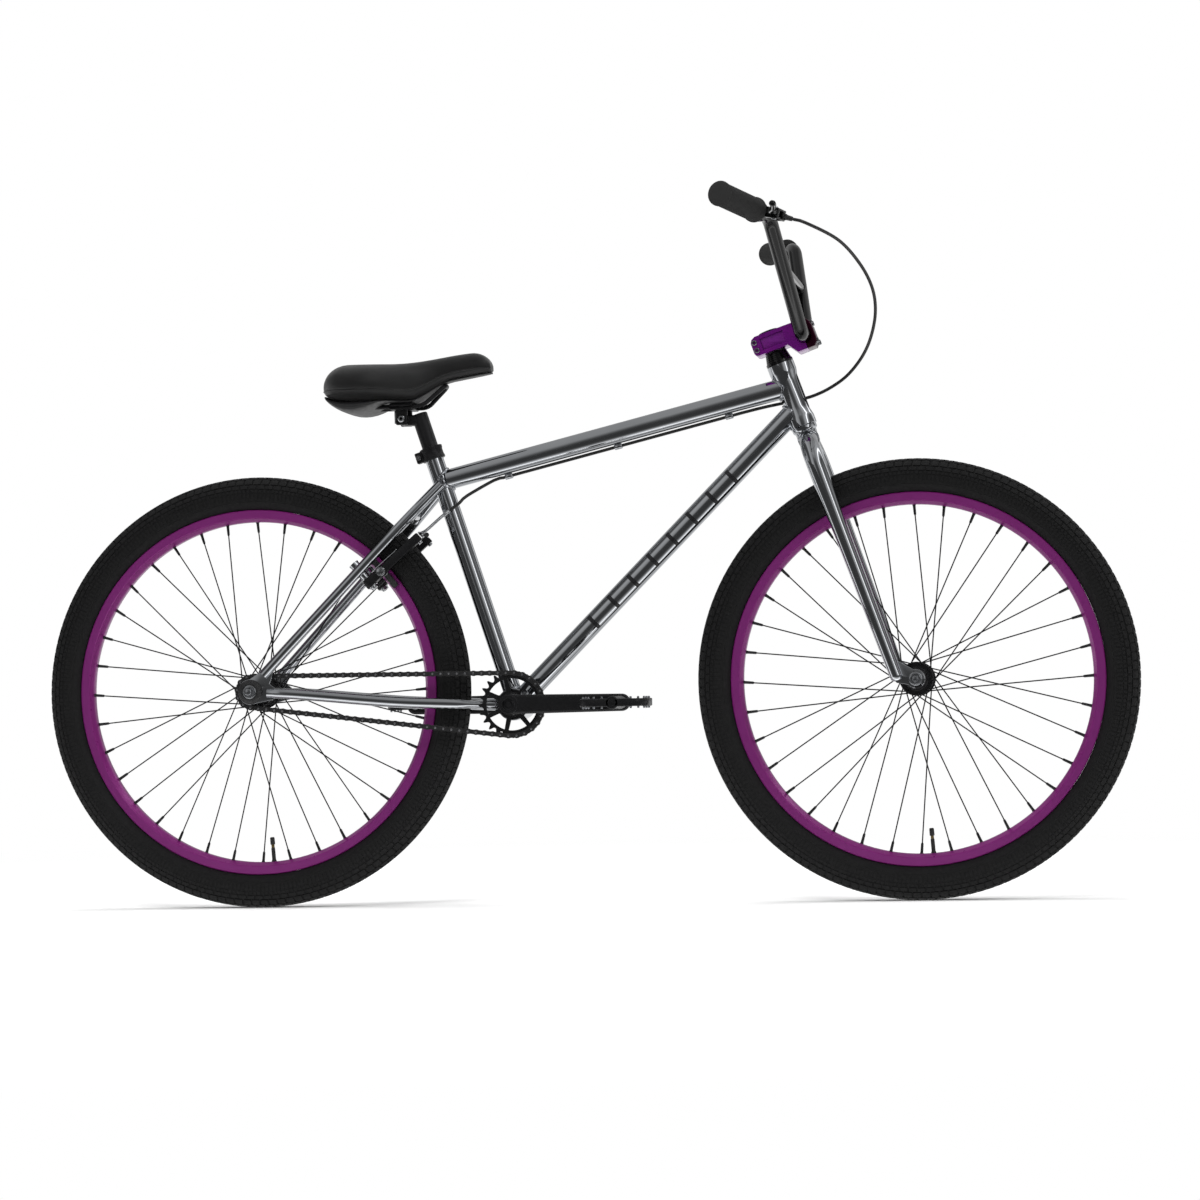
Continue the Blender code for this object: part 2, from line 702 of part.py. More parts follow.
def axle_set(end, axle, spacing, collar_inner, extra_right):
    """The axle with its cones, and a nut on each side, the right one over a hub guard."""
    collar = 0.0085
    face = spacing / 2 - GAP
    left_end = spacing / 2 + DROPOUT_THICKNESS + AXLE_NUT_HEIGHT + 0.004
    right_end = left_end + extra_right
    low, high = collar_inner
    profile = [
        (0, left_end), (AXLE_RADIUS, left_end), (AXLE_RADIUS, face), (collar, face),
        (collar, high), (AXLE_RADIUS, high), (AXLE_RADIUS, low), (collar, low),
        (collar, -face), (AXLE_RADIUS, -face), (AXLE_RADIUS, -right_end), (0, -right_end),
    ]
    turned("axle_" + end, profile, axle, Y, "steel", 14, closed=False)
    plate_face = spacing / 2 + DROPOUT_THICKNESS + GAP
    for side_name, side in SIDES:
        extra = extra_right + GAP if side == RIGHT and extra_right else 0
        start = axle + Y * side * (plate_face + extra)
        nut = rod(f"axle_nut_{end}_{side_name}", start, start + Y * side * AXLE_NUT_HEIGHT,
                  AXLE_NUT_RADIUS, "steel", 6)
        cut(nut, rod(f"nut_bore_{end}_{side_name}", axle, axle + Y * side * 0.12,
                     AXLE_RADIUS + GAP, sides=14))
    if extra_right:
        guard = [
            (HUB_GUARD_RADIUS * 0.62, extra_right), (HUB_GUARD_RADIUS, extra_right * 0.45),
            (HUB_GUARD_RADIUS, 0), (AXLE_RADIUS + GAP, 0), (AXLE_RADIUS + GAP, extra_right),
        ]
        turned("hub_guard", guard, axle - Y * plate_face, -Y, "plastic", 20)


def toothed_loop(teeth, pitch_radius):
    """A sprocket outline: each tooth is a blunt point between two roller seats."""
    root = pitch_radius - 0.0036
    tip = pitch_radius + 0.0034
    step = 2 * pi / teeth
    loop = []
    for tooth in range(teeth):
        middle = tooth * step
        for offset, radius in ((-0.28, root), (-0.07, tip), (0.07, tip), (0.28, root)):
            angle = middle + offset * step
            loop.append((radius * cos(angle), radius * sin(angle)))
    return loop


# ---------------------------------------------------------------- drive


def sprocket():
    """Toothed ring, seven spokes and a hub, cut from one plate."""
    loops = [toothed_loop(SPROCKET_TEETH, SPROCKET_RADIUS)]
    arms = 7
    inner, outer = 0.019, SPROCKET_RADIUS - 0.0075
    for index in range(arms):
        middle = (index + 0.5) * 2 * pi / arms
        near_half = pi / arms - 0.0042 / inner
        far_half = pi / arms - 0.0036 / outer
        near = circle((0, 0), inner, 2, middle - near_half, 2 * near_half)
        far = circle((0, 0), outer, 3, middle + far_half, -2 * far_half)
        loops.append(near + far)
    place = BB - Y * CHAIN_LINE
    disk = plate("sprocket", loops, TOOTH_THICKNESS, place, X, Z, "black_metal")
    boss_end = CRANK_PLANE - CRANK_THICKNESS / 2 - GAP
    join(disk, rod("sprocket_boss", place + Y * 0.0005,
                   BB - Y * boss_end, 0.0165, sides=20))
    cut(disk, rod("sprocket_bore", BB, BB - Y * 0.1, SPINDLE_RADIUS + GAP, sides=24))


def rear_cog():
    place = REAR_AXLE - Y * CHAIN_LINE
    disk = plate("rear_cog", [toothed_loop(COG_TEETH, COG_RADIUS)], TOOTH_THICKNESS, place,
                 X, Z, "black_metal")
    join(disk, rod("driver_boss", REAR_AXLE - Y * COG_BOSS_START, REAR_AXLE - Y * COG_BOSS_END,
                   0.0145, sides=24))
    cut(disk, rod("driver_bore", REAR_AXLE, REAR_AXLE - Y * 0.1, AXLE_RADIUS + GAP, sides=24))


def chain():
    """Two rows of side plates round both toothed wheels, pinned along the straight runs."""
    half = CHAIN_PLATE_HEIGHT / 2
    centres = (0, 0), (BB.x - REAR_AXLE.x, BB.z - REAR_AXLE.z)
    loops = [
        hull_of_circles(centres[0], COG_RADIUS + grow, centres[1], SPROCKET_RADIUS + grow, 8)
        for grow in (half, -half)
    ]
    row = TOOTH_THICKNESS / 2 + 0.0004 + CHAIN_PLATE_THICKNESS / 2
    inner_row = plate("chain", loops, CHAIN_PLATE_THICKNESS,
                      REAR_AXLE - Y * (CHAIN_LINE - row), X, Z, "chain_steel")
    outer_row = plate("chain_outer_row", loops, CHAIN_PLATE_THICKNESS,
                      REAR_AXLE - Y * (CHAIN_LINE + row), X, Z)
    join(inner_row, outer_row)
    span = BB - REAR_AXLE
    lean = (SPROCKET_RADIUS - COG_RADIUS) / span.length
    heading = atan2(span.z, span.x)
    run = sqrt(span.length ** 2 - (SPROCKET_RADIUS - COG_RADIUS) ** 2)
    reach = row + CHAIN_PLATE_THICKNESS / 2
    for side in (1, -1):
        tilt = heading + side * atan2(lean, sqrt(1 - lean * lean))
        along = Vector((cos(tilt), 0, sin(tilt)))
        off = Vector((-sin(tilt), 0, cos(tilt))) * side
        first = REAR_AXLE + off * COG_RADIUS - Y * CHAIN_LINE
        for index in range(CHAIN_PINS):
            distance = CHAIN_PIN_START + index * CHAIN_PITCH * 6
            if distance > run - CHAIN_PIN_START - 0.008:
                break
            centre = first + along * distance
            join(inner_row, rod(f"chain_pin_{side}_{index}", centre - Y * (reach + 0.0008),
                                centre + Y * (reach + 0.0008), 0.0026, sides=6))


def cranks():
    end = CRANK_PLANE + CRANK_THICKNESS / 2
    rod("crank_spindle", BB - Y * (end - 0.003), BB + Y * (end - 0.003), SPINDLE_RADIUS,
        "steel", 24)
    for side_name, side in SIDES:
        forward = -side
        root = BB + Y * side * CRANK_PLANE
        loop = hull_of_circles((0, 0), CRANK_WIDTH / 2 + 0.0015, (forward * CRANK_LENGTH, 0),
                               CRANK_WIDTH / 2 - 0.001, 8)
        arm = plate("crank_arm_" + side_name, [loop], CRANK_THICKNESS, root, X, Z, "black_metal")
        inner = BB_SHELL_WIDTH / 2 + BEARING_FLANGE + 0.0015 if side == LEFT else None
        if inner:
            join(arm, rod("crank_boss", BB + Y * inner, BB + Y * (CRANK_PLANE + 0.002), 0.0155))
        cut(arm, rod("crank_bore_" + side_name, BB, BB + Y * side * 0.12, SPINDLE_RADIUS + GAP,
                     sides=24))
        pedal_axis = BB + X * forward * CRANK_LENGTH
        outer = CRANK_PLANE + CRANK_THICKNESS / 2
        spindle = rod("pedal_spindle_" + side_name, pedal_axis + Y * side * CRANK_PLANE,
                      pedal_axis + Y * side * (outer + PEDAL_GAP + PEDAL_WIDTH * 0.86),
                      PEDAL_SPINDLE_RADIUS, sides=16)
        join(arm, spindle)
        pedal(side_name, side, pedal_axis, outer + PEDAL_GAP)


def bottom_bracket_bearings():
    half = BB_SHELL_WIDTH / 2
    depth = 0.012
    for side_name, side in SIDES:
        bore = SPINDLE_RADIUS + GAP
        profile = [
            (BB_BORE_RADIUS + 0.0025, depth + BEARING_FLANGE),
            (BB_BORE_RADIUS + 0.0025, depth + GAP), (BB_BORE_RADIUS - GAP, depth + GAP),
            (BB_BORE_RADIUS - GAP, 0), (bore, 0), (bore, depth + BEARING_FLANGE),
        ]
        turned("bottom_bracket_bearing_" + side_name, profile, BB + Y * side * (half - depth),
               Y * side, "black_metal", 20)


def pedal(side_name, side, axis, inner):
    """A platform cage: end bars, side bars and a boss round the spindle."""
    centre = axis + Y * side * (inner + PEDAL_WIDTH / 2)
    loop = []
    chamfer = 0.016
    long_half, wide_half = PEDAL_LENGTH / 2, PEDAL_WIDTH / 2
    for sx, sy in ((1, 1), (-1, 1), (-1, -1), (1, -1)):
        first = (sx * long_half, sy * (wide_half - chamfer))
        second = (sx * (long_half - chamfer), sy * wide_half)
        loop += [first, second] if sx * sy > 0 else [second, first]
    windows = []
    for sign in (1, -1):
        near, far = 0.0145, long_half - 0.009
        top, low = wide_half - 0.011, -wide_half + 0.011
        window = [(sign * near, low), (sign * far, low), (sign * far, top), (sign * near, top)]
        windows.append(window)
    body = plate("pedal_" + side_name, [loop] + windows, PEDAL_THICKNESS * 0.72, centre, X, Y,
                 "black_metal")
    boss = rod("pedal_boss_" + side_name, axis + Y * side * inner,
               axis + Y * side * (inner + PEDAL_WIDTH), PEDAL_THICKNESS / 2 + 0.001, sides=16)
    bore = rod("pedal_bore_" + side_name, axis + Y * side * (inner - 0.01),
               axis + Y * side * (inner + PEDAL_WIDTH * 0.88), PEDAL_SPINDLE_RADIUS + GAP,
               sides=16)
    join(body, boss)
    cut(body, bore)


# ---------------------------------------------------------------- steering


def fork_dropout_loop():
    slot = AXLE_RADIUS + GAP
    radius = 0.0145
    mouth = atan2(slot, sqrt(radius * radius - slot * slot))
    start = -pi / 2 + mouth
    around = circle((0, 0), radius, 10, start, pi - 0.5)
    inner = circle((0, 0), slot, 8, 0, pi)
    tail = [(-FORK_OFFSET + 0.004, 0.042), (-FORK_OFFSET - 0.006, 0.036),
            (-FORK_OFFSET - 0.006, 0.010)]
    low = circle((0, 0), radius, 4, -pi / 2 - mouth - 0.9, 0.9)
    return around + tail + low + inner[::-1]


def fork():
    crown = FORK_CROWN_STATION
    steerer = rod("fork", steer(crown - 0.010), steer(STEERER_TOP), STEERER_RADIUS, "chrome", 24)
    race = turned(
        "crown_race", [(STEERER_RADIUS - 0.002, HEAD_TUBE_START - GAP - crown),
                       (0.0195, HEAD_TUBE_START - GAP - crown),
                       (0.0195, HEAD_TUBE_START - 0.006 - crown), (0.0165, 0),
                       (STEERER_RADIUS - 0.002, 0)],
        steer(crown), STEER_UP, steps=24)
    tools = [race]
    for side_name, side in SIDES:
        corners = [
            steer(crown + 0.008, 0, side * 0.002),
            steer(crown - 0.014, 0, side * FORK_LEG_SPREAD),
            steer(0.200, 0, side * FORK_LEG_SPREAD),
            steer(0.014, 0, side * FORK_LEG_SPREAD),
        ]
        path = rounded_path(corners, (0.040, 0.5), 5)
        leg = tube(f"fork_leg_{side_name}", path, STEERER_RADIUS, None, 4, FORK_LEG_TIP_RADIUS)
        tip = plate(f"fork_tip_{side_name}", [fork_dropout_loop()], DROPOUT_THICKNESS,
                    FRONT_AXLE + Y * side * (FRONT_SPACING + DROPOUT_THICKNESS) / 2,
                    STEER_FORWARD, STEER_UP)
        tools += [leg, tip]
    join(steerer, *tools)


def headset_cap():
    height = HEADSET_CAP_HEIGHT
    base = steer(HEAD_TUBE_START + HEAD_TUBE_LENGTH + GAP)
    inner = STEERER_RADIUS + GAP
    profile = [(inner + 0.002, height), (inner + 0.0028, height * 0.45),
               (HEAD_TUBE_END_RADIUS, 0.004), (HEAD_TUBE_END_RADIUS, 0), (inner, 0),
               (inner, height)]
    turned("headset_cap", profile, base, STEER_UP, "plastic", 24)


def stem():
    """A front-load stem: its body, and the plate that holds the bar."""
    low, high = STEM_START, STEM_START + STEM_HEIGHT
    bar_low, bar_high = BAR_CLAMP_STATION - 0.021, BAR_CLAMP_STATION + 0.025
    face = STEM_REACH
    body_loop = [(-0.030, low + 0.004), (-0.026, low), (0.024, low), (0.034, bar_low),
                 (face - GAP, bar_low), (face - GAP, bar_high), (face - 0.012, bar_high),
                 (face - 0.024, high), (-0.022, high), (-0.030, high - 0.007)]
    face_loop = [(face + GAP, bar_low), (face + 0.013, bar_low), (face + 0.018, bar_low + 0.010),
                 (face + 0.018, bar_high - 0.012), (face + 0.012, bar_high),
                 (face + GAP, bar_high)]
    body = plate("stem", [body_loop], STEM_WIDTH, STEER_FOOT, STEER_FORWARD, STEER_UP, "purple")
    front = plate("stem_faceplate", [face_loop], STEM_WIDTH, STEER_FOOT, STEER_FORWARD,
                  STEER_UP, "purple")
    for piece in (body, front):
        bevel = piece.modifiers.new("Edges", "BEVEL")
        bevel.width = 0.002
        bevel.segments = 2
        bevel.limit_method = "ANGLE"
        bevel.angle_limit = radians(60)
    bar_space = rod("bar_space", steer(BAR_CLAMP_STATION, face, -0.1),
                    steer(BAR_CLAMP_STATION, face, 0.1), BAR_RADIUS + GAP * 2, sides=20)
    steerer_space = rod("steerer_space", steer(low - 0.05), steer(high + 0.05),
                        STEERER_RADIUS + GAP * 2, sides=24)
    turn = Matrix((STEER_FORWARD, Y, STEER_UP)).transposed()
    slit = box("stem_slit", steer((low + high) / 2, -0.024), (0.024, 0.0016, 0.1), turn=turn)
    cut(body, bar_space, steerer_space, slit)
    cut(front, bar_space)


def bar_points():
    """Corner points of the bar's right half, from the stem outwards."""
    return [
        steer(BAR_CLAMP_STATION, STEM_REACH, -0.001),
        steer(BAR_CLAMP_STATION, STEM_REACH, -0.056),
        steer(BAR_CLAMP_STATION + 0.162, STEM_REACH + 0.024, -0.205),
        steer(BAR_CLAMP_STATION + 0.194, STEM_REACH - 0.023, -BAR_HALF_WIDTH),
    ]


def mirrored(point):
    return Vector((point.x, -point.y, point.z))


def handlebar():
    corners = bar_points()
    whole = [mirrored(corner) for corner in reversed(corners[1:])] + corners[1:]
    path = rounded_path(whole, (0.042, 0.034, 0.034, 0.042), 5)
    bar = tube("handlebar", path, BAR_RADIUS, "black_paint", 4)
    low, high = corners[1], corners[2]
    right_end = low.lerp(high, BRACE_SHARE)
    brace = tube("bar_brace", [mirrored(right_end), right_end], BRACE_RADIUS, None, 3)
    join(bar, brace)


def grip_frame(side):
    """The grip's outer end, the way out along it and the way forward from it."""
    inner, outer = bar_points()[2], bar_points()[3]
    if side == LEFT:
        inner, outer = mirrored(inner), mirrored(outer)
    out = (outer - inner).normalized()
    ahead = (X - out * X.dot(out)).normalized()
    return outer, out, ahead


def grips():
    for side_name, side in SIDES:
        end, out, _ = grip_frame(side)
        inner = BAR_RADIUS + GAP
        length = GRIP_LENGTH
        profile = [
            (0, GRIP_CAP), (GRIP_RADIUS - 0.001, GRIP_CAP), (GRIP_RADIUS + 0.0012, 0.001),
            (GRIP_RADIUS, -0.003), (GRIP_RADIUS, 0.008 - length),
            (GRIP_RADIUS + 0.0014, 0.004 - length), (GRIP_RADIUS + 0.0014, -length),
            (inner, -length), (inner, GAP), (0, GAP),
        ]
        turned("grip_" + side_name, profile, end, out, "rubber", 20, closed=False)


def brake_lever():
    """The clamp with its cable adjuster, and the blade on its pivot."""
    end, out, ahead = grip_frame(RIGHT)
    down = ahead.cross(out).normalized()
    ahead = ahead * cos(LEVER_DROP) + down * sin(LEVER_DROP)
    up = ahead.cross(out).normalized()
    centre = end - out * (GRIP_LENGTH + GAP + 0.0085)
    inner = BAR_RADIUS + GAP
    clamp = ring("lever_clamp", centre - out * 0.007, out, inner + 0.0035, inner, 0.014,
                 "black_paint")
    pivot = centre + ahead * LEVER_PIVOT_AHEAD + out * 0.004
    turn = Matrix((out, ahead, up)).transposed()
    body_start, body_end = inner + 0.001, LEVER_PIVOT_AHEAD + 0.007
    body = box("lever_body", centre + ahead * (body_start + body_end) / 2 - out * 0.006,
               (0.028, body_end - body_start, 0.016), turn=turn)
    bore = rod("lever_bore", centre - out * 0.05, centre + out * 0.05, inner, sides=20)
    slot = box("lever_slot", pivot + out * 0.008, (0.036, 0.0205, LEVER_THICKNESS + 2 * GAP),
               turn=turn)
    pin_half = 0.008 - GAP
    pin = rod("lever_pin", pivot - up * pin_half, pivot + up * pin_half, LEVER_PIN_RADIUS,
              sides=12)
    barrel_way = (ahead * 0.80 - out * 0.60 + up * 0.06).normalized()
    barrel_start = centre + ahead * (LEVER_PIVOT_AHEAD - 0.002) - out * 0.014
    barrel = rod("lever_barrel", barrel_start, barrel_start + barrel_way * 0.022, 0.0048,
                 sides=12)
    join(clamp, body)
    cut(clamp, bore, slot)
    join(clamp, pin, barrel)

    blade_loop = (
        circle((0, 0), 0.0065, 6, pi / 2, pi)
        + [(0.020, -0.0050), (0.045, 0.0140), (LEVER_LENGTH - 0.006, 0.0350)]
        + circle((LEVER_LENGTH, 0.0400), 0.0045, 5, -pi / 2, pi)
        + [(LEVER_LENGTH - 0.008, 0.0435), (0.045, 0.0240), (0.018, 0.0085)]
    )
    hole = circle((0, 0), LEVER_PIN_RADIUS + GAP, 16)
    plate("lever_blade", [blade_loop, hole], LEVER_THICKNESS, pivot, out, ahead, "black_paint")
    return barrel_start + barrel_way * 0.022, barrel_way


# ---------------------------------------------------------------- brake


def brake_arms():
    pivot_base = REAR_AXLE + BRAKE_OUT * BRAKE_PIVOT_RADIUS
    for side_name, side in SIDES:
        pivot = pivot_base + Y * side * BRAKE_PIVOT_SPREAD
        top = BRAKE_ARM_LENGTH
        loop = (
            circle((0, 0), 0.0095, 8, pi, pi)
            + [(0.0060, 0.030), (0.0050, top)]
            + [(-0.0050, top), (-0.0060, 0.030)]
        )
        arm = plate("brake_arm_" + side_name, [loop, circle((0, 0), BRAKE_PIN_RADIUS + GAP, 16)],
                    BRAKE_ARM_DEPTH, pivot, Y * side, BRAKE_OUT, "black_metal")
        pad_face = RIM_WIDTH / 2 + PAD_CLEARANCE
        pad_centre = REAR_AXLE + BRAKE_OUT * PAD_TRACK_RADIUS
        turn = Matrix((BRAKE_AHEAD, Y, BRAKE_OUT)).transposed()
        shoe = box("pad_" + side_name, pad_centre + Y * side * (pad_face + 0.0045),
                   (0.060, 0.009, 0.0095), turn=turn)
        holder = rod("pad_stud_" + side_name, pad_centre + Y * side * (pad_face + 0.006),
                     pad_centre + Y * side * (BRAKE_PIVOT_SPREAD + 0.013), 0.004, sides=16)
        join(arm, shoe, holder)


def noodle_points():
    """The bent guide from the cable's end to the top of the right brake arm."""
    top = REAR_AXLE + BRAKE_OUT * (BRAKE_PIVOT_RADIUS + BRAKE_ARM_LENGTH + 0.0050)
    tip = top - Y * (BRAKE_PIVOT_SPREAD - 0.006)
    start = seat(0.318, -(SEAT_TUBE_RADIUS + 0.0095))
    return [
        tip,
        tip - Y * 0.016,
        tip - Y * 0.028 + X * 0.012 + Z * 0.004,
        start + Vector((-0.012, -0.006, -0.010)),
        start,
    ]


def noodle_and_cable(start, along, under, cable_drop, barrel_end, barrel_way):
    points = noodle_points()
    path = smooth_path(points, 0.009)
    tube("brake_noodle", path, 0.0024, "steel", 2)
    last = (path[-1] - path[-2]).normalized()
    guide_line = [start + along * station + under * cable_drop for station in GUIDE_STATIONS]
    head_side = steer(HEAD_TUBE_START + 0.045, 0.0, HEAD_TUBE_RADIUS + 0.0085)
    route = [
        points[-1] + last * GAP * 2,
        points[-1] + last * 0.020,
        guide_line[0] - along * 0.070 + under * 0.014 - Y * 0.014,
    ]
    for centre in guide_line:
        route += [centre + along * offset for offset in (-0.024, -0.009, 0.009, 0.024)]
    ahead = (head_side - guide_line[-1]).dot(along)
    rise = head_side - guide_line[-1] - along * ahead
    for share, ease in ((0.52, 0.16), (0.78, 0.60)):
        route.append(guide_line[-1] + along * ahead * share + rise * ease)
    route.append(head_side)
    frame_path = smooth_path(route, 0.016)
    tube("brake_cable_frame", frame_path, CABLE_RADIUS, "rubber", 2)
    way = (frame_path[-1] - frame_path[-2]).normalized()
    bar_route = [
        head_side + way * GAP * 2,
        *[head_side + Vector(step) for step in CABLE_STEPS],
        barrel_end + barrel_way * 0.020,
        barrel_end + barrel_way * GAP * 2,
    ]
    tube("brake_cable_bar", smooth_path(bar_route, 0.016), CABLE_RADIUS, "rubber", 2)


# ---------------------------------------------------------------- seat


def seatpost():
    """The post with the fixed half of its saddle clamp behind the top."""
    post = rod("seatpost", seat(SEAT_TUBE_LENGTH - 0.110), seat(SEATPOST_TOP), SEATPOST_RADIUS,
               "black_paint", 20)
    hinge = CLAMP_AXIS
    neck = seat(SEATPOST_TOP - 0.008)
    head = box("post_head", (neck + hinge) / 2 + Z * -0.002,
               (abs(neck.x - hinge.x) + 0.006, 0.024, 0.017))
    barrel = rod("post_barrel", hinge - Y * 0.014, hinge + Y * 0.014, 0.010)
    join(post, head, barrel)
    cradle = rod("cradle_space", hinge - Y * 0.03, hinge + Y * 0.03, CLAMP_BOLT_RADIUS + GAP,
                 sides=16)
    cut(post, cradle)


def saddle_clamp():
    """The tilting yoke that holds both rails, on a pin through the post's head."""
    hinge = CLAMP_AXIS
    rail_height = RAIL_HEIGHT
    yoke = box("saddle_clamp", Vector((hinge.x, 0, rail_height)), (0.036, 0.058, 0.010),
               "black_paint")
    for side in (1, -1):
        join(yoke, box(f"clamp_cheek_{side}", Vector((hinge.x, side * 0.0185, (hinge.z +
                       rail_height) / 2 - 0.003)), (0.018, 0.0075, rail_height - hinge.z + 0.014)))
    join(yoke, rod("clamp_pin", hinge - Y * 0.020, hinge + Y * 0.020, CLAMP_BOLT_RADIUS, sides=16))
    for side in (1, -1):
        bore = rod(f"rail_space_{side}", Vector((hinge.x - 0.05, side * RAIL_SPREAD, rail_height)),
                   Vector((hinge.x + 0.05, side * RAIL_SPREAD, rail_height)), RAIL_RADIUS + GAP,
                   sides=16)
        cut(yoke, bore)


def eased(share, start, length):
    """0 before start, 1 from start + length on, and smooth between."""
    t = min(1.0, max(0.0, (share - start) / length))
    return t * t * (3 - 2 * t)


def saddle_section(share):
    """Half width, crown height and edge height at a share of the saddle's length."""
    rear, nose = SADDLE_WIDTH / 2, SADDLE_NOSE_WIDTH / 2
    half = rear + (nose - rear) * eased(share, 0.20, 0.52)
    crown = SADDLE_CROWN + 0.015 * eased(share, 0.40, 0.55)
    edge = SADDLE_EDGE + 0.030 * eased(share, 0.50, 0.25) + 0.043 * max(0.0, share - 0.70)
    return half, crown, edge


def end_rounding(share, tail=0.16, tip=0.12):
    """1 along the saddle, falling on a quarter circle to 0 at its tail and its nose."""
    back = max(0.0, (tail - share) / tail)
    front = max(0.0, (share - 1 + tip) / tip)
    return sqrt(max(0.0, 1 - max(back, front) ** 2))


def saddle_loft(name, finish, inset, span):
    """Rounded sections along the saddle, between the heights that span gives."""
    steps, sides = 12, 16

    def build(bm):
        rings = []
        for step in range(steps + 1):
            share = 0.5 - 0.497 * cos(pi * step / steps)
            rounding = end_rounding(share)
            half = (saddle_section(share)[0] - inset) * (0.45 + 0.55 * rounding)
            low, top = span(share, rounding)
            middle, high = (top + low) / 2, (top - low) / 2
            x = SADDLE_REAR + share * SADDLE_LENGTH
            section = []
            for side in range(sides):
                c, s = cos(2 * pi * side / sides), sin(2 * pi * side / sides)
                spread = abs(c) ** 0.6 * (1 if c >= 0 else -1)
                rise = abs(s) ** 0.8 * (1 if s >= 0 else -1)
                section.append(bm.verts.new((x, half * spread, middle + high * rise)))
            rings.append(section)
        for before, after in zip(rings, rings[1:]):
            for index in range(sides):
                follow = (index + 1) % sides
                bm.faces.new((before[index], before[follow], after[follow], after[index]))
        bm.faces.new(rings[0])
        bm.faces.new(rings[-1])
        bmesh.ops.recalc_face_normals(bm, faces=bm.faces)

    return mesh_of(name, build, finish)


def cover_span(share, rounding):
    _, crown, edge = saddle_section(share)
    lift, drop = (0.012, 0.036) if share < 0.5 else (0.0, 0.024)
    return edge + lift * (1 - rounding), crown - drop * (1 - rounding)


def base_span(share, rounding):
    """The shell under the cover: deep behind the clamp and thin over it."""
    edge = cover_span(share, rounding)[0]
    depth = 0.0035 + 0.016 * sin(pi * min(1.0, share / 0.36))
    return edge - depth, edge - 2 * GAP


def saddle():
    saddle_loft("saddle_cover", "vinyl", 0.0, cover_span)
    base = saddle_loft("saddle_base", "plastic", 0.012, base_span)
    route = [
        Vector((SADDLE_REAR + 0.030, -0.034, RAIL_HEIGHT + 0.0030)),
        Vector((SADDLE_REAR + 0.050, -RAIL_SPREAD, RAIL_HEIGHT)),
        Vector((SADDLE_REAR + 0.152, -RAIL_SPREAD, RAIL_HEIGHT)),
        Vector((SADDLE_REAR + 0.186, -0.010, RAIL_HEIGHT + 0.031)),
    ]
    route += [mirrored(point) for point in reversed(route)]
    path = rounded_path(route, (0.016, 0.024, 0.008, 0.008, 0.024, 0.016), 3)
    rails = tube("saddle_rails", path, RAIL_RADIUS, "steel", 2)
    cut(rails, grown(base))


# ---------------------------------------------------------------- assembly


def build_bike():
    clear_scene()
    shell, seat_space, tube_start, along, under, cable_drop = frame_tubes()
    rear_triangle(shell, seat_space)
    seat_clamp()
    bottom_bracket_bearings()

    front_face = FRONT_SPACING / 2 - 0.006
    wheel("front", FRONT_AXLE, (-front_face, front_face),
          (-HUB_FLANGE_OFFSET, HUB_FLANGE_OFFSET))
    rear_face = REAR_SPACING / 2 - 0.006
    wheel("rear", REAR_AXLE, (-COG_BOSS_START + GAP * 2, rear_face),
          (-HUB_FLANGE_OFFSET + 0.004, HUB_FLANGE_OFFSET + 0.002))
    axle_set("front", FRONT_AXLE, FRONT_SPACING, (-front_face - GAP, front_face + GAP), 0)
    axle_set("rear", REAR_AXLE, REAR_SPACING, (-COG_BOSS_END - GAP, rear_face + GAP),
             HUB_GUARD_THICKNESS)

    sprocket()
    rear_cog()
    chain()
    cranks()

    fork()
    headset_cap()
    stem()
    handlebar()
    grips()
    barrel_end, barrel_way = brake_lever()
    brake_arms()
    noodle_and_cable(tube_start, along, under, cable_drop, barrel_end, barrel_way)

    seatpost()
    saddle_clamp()
    saddle()


build_bike()
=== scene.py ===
"""BMX cruiser bicycle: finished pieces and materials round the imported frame.

Laid out as an add-on: sizes and colours are properties, and each group of pieces is an operator.
"""

from math import atan2, cos, hypot, pi, radians, sin, sqrt, tan

import bmesh
import bpy
from bpy.props import FloatProperty, FloatVectorProperty, IntProperty, PointerProperty
from mathutils import Matrix, Vector


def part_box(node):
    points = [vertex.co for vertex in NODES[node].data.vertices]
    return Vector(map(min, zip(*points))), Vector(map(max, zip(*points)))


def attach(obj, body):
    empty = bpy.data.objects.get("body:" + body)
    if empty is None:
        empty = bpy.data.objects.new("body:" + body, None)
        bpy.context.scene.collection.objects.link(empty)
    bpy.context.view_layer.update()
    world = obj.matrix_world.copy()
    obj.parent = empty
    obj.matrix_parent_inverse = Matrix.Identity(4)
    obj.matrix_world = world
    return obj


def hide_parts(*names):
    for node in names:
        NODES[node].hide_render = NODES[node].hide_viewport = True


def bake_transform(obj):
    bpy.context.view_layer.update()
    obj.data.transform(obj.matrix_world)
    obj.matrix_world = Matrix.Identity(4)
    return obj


bl_info = {
    "name": "BMX cruiser bicycle",
    "version": (1, 0, 0),
    "blender": (4, 5, 0),
    "location": "View3D > Sidebar > Bike",
    "description": "Builds the finished pieces of a BMX cruiser round its frame",
    "category": "Add Mesh",
}

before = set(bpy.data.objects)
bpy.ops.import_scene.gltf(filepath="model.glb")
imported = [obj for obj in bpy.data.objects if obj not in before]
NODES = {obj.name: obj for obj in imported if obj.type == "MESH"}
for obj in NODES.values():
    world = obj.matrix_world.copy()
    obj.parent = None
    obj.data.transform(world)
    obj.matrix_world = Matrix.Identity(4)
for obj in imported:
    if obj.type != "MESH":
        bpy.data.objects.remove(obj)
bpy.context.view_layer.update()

X, Y, Z = Vector((1, 0, 0)), Vector((0, 1, 0)), Vector((0, 0, 1))
RIGHT, LEFT = -1, 1
SIDES = (("right", RIGHT), ("left", LEFT))


